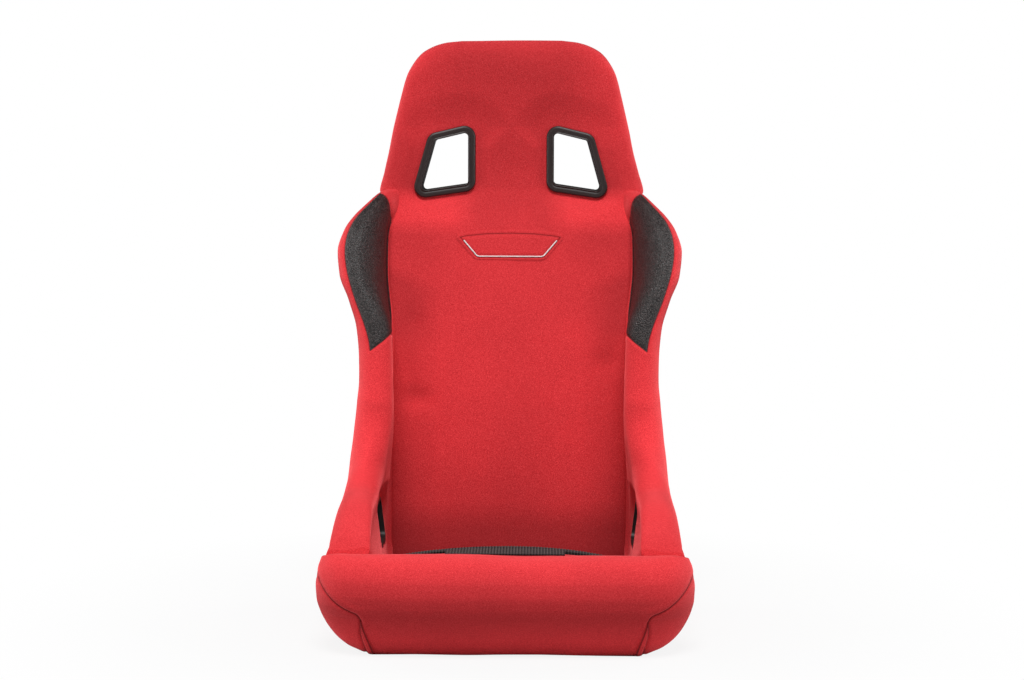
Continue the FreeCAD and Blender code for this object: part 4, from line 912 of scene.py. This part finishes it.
# The sewn end's seam, the dart below it and the pleat beside that, as they show in the front view.
SEAM = smooth_line([(191, 566), (189, 573), (186.5, 580), (181.5, 590), (173, 601), (163, 609),
                    (153, 614), (146.5, 617.5), (143.8, 623)], 60)
DART = smooth_line([(143.8, 623), (144, 633), (140.5, 646), (136, 657)], 30)
PLEAT = smooth_line([(143.8, 623), (140.5, 632), (135, 645), (130, 657)], 30)
on_face = ry < ROLL_REAR - 4
# One distance, of changed sign across the seam, for the sewn end piece and its pleat.
end_piece = np.vstack([SEAM, DART[1:], [(200, 700), (230, 560)]])
d_end = signed(shown, end_piece) * ROLL_PX
d_fold = signed(shown, np.vstack([DART, PLEAT[::-1]])) * ROLL_PX
lift = waves(roll, 23, (240, 110, 50), (0.9, 0.4, 0.12))
lift += 0.9 * bell(d_end, 6, 4.5) + 0.5 * bell(d_end, -6, 5.0) - 1.5 * bell(d_end, 0, 1.6)
lift += np.where(d_fold < 0, 1.6, 1.6 * np.exp(-d_fold / 0.9)) - 1.4 * bell(d_fold, 1.6, 1.3)
# A slight fullness at the upper corners.
lift += 1.4 * bell(np.abs(rx), 243, 20) * bell(rz, ROLL_TOP, 9)
roll += out * (lift * on_face)[..., None]
front_roll = grid_mesh("front_roll", roll, SEWN)
d_line = np.where(np.abs(d_fold) < np.abs(d_end), d_fold, d_end)
mark(front_roll, "seam", np.where(on_face, d_line, FAR).ravel(), FAR)

# Wedge under the cushion.
WEDGE_HALF, WEDGE_LOW = INNER - 0.4, 28.5
xs = np.linspace(-1, 1, 60)
wedge_rows = []
for y in np.linspace(PAD_FRONT_Y + 0.3, PAD_REAR_Y - 8.6, 70):
    top = pad_side(y) - PAD_DEPTH - 2.0
    upper = np.column_stack([WEDGE_HALF * xs, np.full(60, y), top - 1.6 * np.abs(xs) ** 8])
    under = np.column_stack([-WEDGE_HALF * xs, np.full(60, y), WEDGE_LOW + 1.4 * np.abs(xs) ** 8])
    wedge_rows.append(np.vstack([upper, under]))
wedge = grid_mesh("base_wedge", np.array(wedge_rows), LINING)


def crotch_slot(ob, radius):
    """Cuts the crotch strap's slot through a piece, straight up."""
    hole = rounded(box(-38.5, -99.5, 38.5, -58.5), radius)
    plane = np.column_stack([hole, np.zeros(len(hole))])
    cut_away(ob, prism(plane, (0, 0, 240)))


crotch_slot(wedge, 10)

# Removable cushion.
PAD_HALF = INNER - PAD_GAP


def pad_top(x, y):
    """Height of the cushion's top between the ribs."""
    part = np.abs(x) / PAD_HALF
    ends = np.clip((y - (PAD_FRONT_Y + PAD_GAP)) / 14.0, 0, 1)
    drop = (12.0 * np.clip((part - 0.86) / 0.14, 0, 1) ** 2.6
            + np.clip((part - 0.6) / 0.26, 0, 1))
    bulge = 5.8 * (1 - part ** 2) * bell(y, -196, 38)
    return pad_side(y) + PAD_CROWN * (1 - part ** 2) + bulge - 3.0 * (1 - ends) ** 2 - drop


def rib_height(x):
    """From 0 between the ribs to 1 on them."""
    return 0.5 + 0.5 * np.cos(2 * math.pi * x / RIB)


# Rows run straight across. Behind BEND_Y they bend to follow the back, as it is at REAR_Z.
BEND_Y, LAST_Y, REAR_Z = 60, 92, 60
cols = 1080
u = np.linspace(-1, 1, cols)
x = PAD_HALF * u
pad_rows = []
fore_y = PAD_FRONT_Y + PAD_GAP
for y in np.concatenate([np.linspace(fore_y, fore_y + 14, 10)[:-1],
                         np.linspace(fore_y + 14, LAST_Y, 74)]):
    yy = np.full(cols, y)
    if y > BEND_Y:
        stop = front(x, REAR_Z) - PAD_GAP - 0.3
        yy = BEND_Y + (stop - BEND_Y) * (y - BEND_Y) / (LAST_Y - BEND_Y)
    near_side = np.clip((np.abs(u) - 0.9) / 0.06, 0, 1)
    z = (pad_top(x, yy) + 0.75 * (rib_height(x) - 1) * (1 - near_side)
         + 0.5 * np.sin(x / 37) * np.sin(y / 41))
    side_drop = np.linspace(0, 1, 14)[1:]
    base = pad_side(yy) - PAD_DEPTH
    right = np.column_stack([x[-1] - 1.6 * np.sin(side_drop * math.pi),
                             np.full(13, yy[-1]), z[-1] + (base[-1] - z[-1]) * side_drop])
    bottom_x = np.linspace(1, -1, 60)[1:-1] * PAD_HALF
    bottom_y = np.interp(bottom_x, x, yy)
    bottom = np.column_stack([bottom_x, bottom_y, pad_side(bottom_y) - PAD_DEPTH])
    left = right[::-1] * [-1, 1, 1]
    pad_rows.append(np.vstack([np.column_stack([x, yy, z]), right, bottom, left]))
cushion = grid_mesh("seat_cushion", np.array(pad_rows), RIBBED)
crotch_slot(cushion, 10.5)

# The tongue at the cushion's front edge, laid over the roll. Its last rows round off its end.
TONGUE_HALF, TONGUE_LEVEL, TONGUE_END = 87.0, 149.7, fore_y - 39.0
cols = 520
u = np.linspace(-1, 1, cols)
x = TONGUE_HALF * u
under_x = np.linspace(TONGUE_HALF, -TONGUE_HALF, 60)
tongue_rows = []
run_y = np.concatenate([np.linspace(fore_y + 9, TONGUE_END, 44),
                        TONGUE_END - 1.5 * np.sin(np.linspace(.3, 1.57, 5))])
for i, y in enumerate(run_y):
    thin = 1.0 if i < 44 else math.cos(0.3 + (i - 44) * 0.3)
    on_pad = ease(y, fore_y - 6, fore_y + 8)
    level = TONGUE_LEVEL * (1 - on_pad) + (pad_top(x, max(y, fore_y)) - 1.2) * on_pad
    top = level + 0.3 + (0.6 * rib_height(x) + 0.5) * thin
    top = np.where(np.abs(u) > 0.985, top - 0.6, top)
    low = np.interp(under_x, x, level) - 1.2
    tongue_rows.append(np.vstack([np.column_stack([x, np.full(cols, y), top]),
                                  np.column_stack([under_x, np.full(60, y), low])]))
tongue = grid_mesh("cushion_tongue", np.array(tongue_rows), RIBBED)

# Bare raised panel and its piping, as they show in the front view.
BADGE = [(-50, 237.6), (-44, 236.3), (-24, 234.3), (0, 233.6), (24, 234.3), (44, 236.3),
         (50, 237.6), (34, 256), (31, 257), (-31, 257), (-34, 256)]


def on_back(px, py, above):
    """Point on the front face that shows at a place in the front view."""
    z = np.full(np.shape(px), 570.0)
    x = np.asarray(px, float) * BACK_PX
    for _ in range(30):
        now = seen(np.stack([x, front(x, z), z], axis=-1))
        x = x + (px - now[..., 0]) * BACK_PX
        z = z - (py - now[..., 1]) * BACK_PX
    y = front(x, z) - swell(x, z)
    return np.stack([x, y - above, z], axis=-1)


px, py = np.meshgrid(np.linspace(-58, 58, 260), np.linspace(226, 264, 90))
d = signed(np.stack([px, py], axis=-1), BADGE) * BACK_PX
raise_by = 3.4 * np.clip(-d / 6.0, 0, 1) ** 0.55 + bell(d, 3, 2.2) - 0.3
spread = on_back(px, py, raise_by)
spread[..., 1] += 0.8 * np.clip((d - 3) / 3, 0, 1)
panel = grid_mesh("badge_panel_cover", spread, SEWN, "sheet")
mark(panel, "seam", d.ravel(), FAR)
with edited(panel) as bm:
    gone = [f for f in bm.faces if all(d.ravel()[v.index] > 6.5 for v in f.verts)]
    bmesh.ops.delete(bm, geom=gone, context="FACES")
solid = panel.modifiers.new("body", "SOLIDIFY")
solid.thickness = 0.0012
solid.offset = -1

# The piping: a raised sewn line that follows the front face. Radius in m, height above it in mm.
PIPING = np.array([(-46.5, 240.2), (-34.3, 254.6), (-33, 255.8), (-31, 256.3), (31, 256.3),
                   (33, 255.8), (34.3, 254.6), (46.5, 240.2)])
PIPING_RADIUS, PIPING_RISE = 0.0011, 2.6
run = np.concatenate([[0], np.cumsum(np.linalg.norm(np.diff(PIPING, axis=0), axis=1))])
at = np.linspace(0, run[-1], 160)
spots = on_back(np.interp(at, run, PIPING[:, 0]), np.interp(at, run, PIPING[:, 1]), PIPING_RISE)
data = bpy.data.curves.new("badge_piping_curve", "CURVE")
data.dimensions = "3D"
line = data.splines.new("POLY")
line.points.add(len(spots) - 1)
for item, spot in zip(line.points, spots * MM):
    item.co = (*spot, 1)
data.bevel_depth = PIPING_RADIUS
data.bevel_resolution = 4
data.use_fill_caps = True
curve = placed("badge_piping_curve", data)
dg = bpy.context.evaluated_depsgraph_get()
mesh = bpy.data.meshes.new_from_object(curve.evaluated_get(dg))
mesh.name = "badge_piping_line"
mesh.shade_smooth()
piping = placed("badge_piping_line", mesh)
bpy.data.objects.remove(curve)
dress(piping, THREAD)

# Bodies.
for ob in (back_shell, bolster_right, bolster_left, front_roll, wedge, panel, piping,
           moulding_right, moulding_left):
    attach(ob, "seat")
for ob in (cushion, tongue):
    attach(ob, "base_cushion")
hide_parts("back_foam", "back_cover", "rear_cover", "head_foam", "head_cover")
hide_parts("bolster_foam_right", "bolster_cover_right", "shoulder_patch_right")
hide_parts("bolster_foam_left", "bolster_cover_left", "shoulder_patch_left")
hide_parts("roll_foam", "roll_cover", "roll_end_right", "roll_end_left")
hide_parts("base_foam")
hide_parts("cushion_foam", "cushion_cover")
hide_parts("badge_panel")
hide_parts("badge_piping")

# Floor, lamps, camera. The floor is a disc that shows white to the camera away from the seat.
FLOOR_RADIUS, FLOOR_SIDES = 6, 96
floor_mesh = bpy.data.meshes.new("studio_floor")
ring = [(FLOOR_RADIUS * math.cos(a), FLOOR_RADIUS * math.sin(a), 0)
        for a in np.linspace(0, 2 * math.pi, FLOOR_SIDES + 1)[:-1]]
floor_mesh.from_pydata([(0, 0, 0)] + ring, [], [(0, i + 1, (i + 1) % FLOOR_SIDES + 1)
                                                for i in range(FLOOR_SIDES)])
floor = placed("studio_floor", floor_mesh)
n = Nodes("studio_floor")
n.set(Base_Color=(0.55, 0.55, 0.55), Roughness=0.9, Specular_IOR_Level=0.1)
position = n.add("ShaderNodeVectorMath", {0: n.coords}, operation="LENGTH").outputs["Value"]
far = n.ramp(n.math("MULTIPLY", position, 0.4), [(0.10, 0.86), (0.34, 1)])
path = n.add("ShaderNodeLightPath").outputs["Is Camera Ray"]
white = n.add("ShaderNodeEmission", Color=(1, 1, 1, 1), Strength=1.0)
n.blended(n.math("MULTIPLY", path, far), white)
floor.data.materials.append(n.mat)

# A faint light from all round; the background shows plain white.
world = bpy.data.worlds.new("studio")
scene.world = world
world.use_nodes = True
tree = world.node_tree
sky, plain = tree.nodes["Background"], tree.nodes.new("ShaderNodeBackground")
for node, strength in ((sky, 0.06), (plain, 1.0)):
    node.inputs["Color"].default_value = (1, 1, 1, 1)
    node.inputs["Strength"].default_value = strength
ray = tree.nodes.new("ShaderNodeLightPath")
pick = tree.nodes.new("ShaderNodeMixShader")
tree.links.new(ray.outputs["Is Camera Ray"], pick.inputs[0])
tree.links.new(sky.outputs[0], pick.inputs[1])
tree.links.new(plain.outputs[0], pick.inputs[2])
tree.links.new(pick.outputs[0], tree.nodes["World Output"].inputs["Surface"])


def lamp(name, place, target, size_x, size_y, watts):
    """A rectangular area lamp, turned to a target."""
    data = bpy.data.lights.new(name, "AREA")
    data.shape = "RECTANGLE"
    data.size, data.size_y = size_x, size_y
    data.energy = watts
    ob = placed(name, data)
    ob.location = place
    ob.rotation_euler = (Vector(target) - Vector(place)).to_track_quat("-Z", "Y").to_euler()


lamp("key_above", (0.0, -4.4, 7.7), (0, -0.05, 0.45), 3.6, 2.6, 790)
for name, side in (("left", -1), ("right", 1)):
    lamp(name + "_fill", (side * 2.3, -0.7, 0.9), (0, -0.05, 0.35), 1.0, 1.4, 17)
for name, side in (("left", -1), ("right", 1)):
    lamp(name + "_back", (side * 2.0, 0.9, 1.4), (0, 0, 0.4), 1.0, 1.4, 18)

camera_data = bpy.data.cameras.new("camera")
camera_data.sensor_width = 36.0
camera_data.lens = CAM_F * camera_data.sensor_width / VIEW_WIDE
camera = placed("camera", camera_data)
camera.location = (0.055, -CAM_D * MM, CAM_H * MM)
# A hair of roll and turn, as in the front view.
camera.rotation_euler = (math.pi / 2 - CAM_PITCH, -0.0035, math.radians(0.79) + 0.4 / CAM_F)
scene.camera = camera
scene.view_settings.view_transform = "Standard"
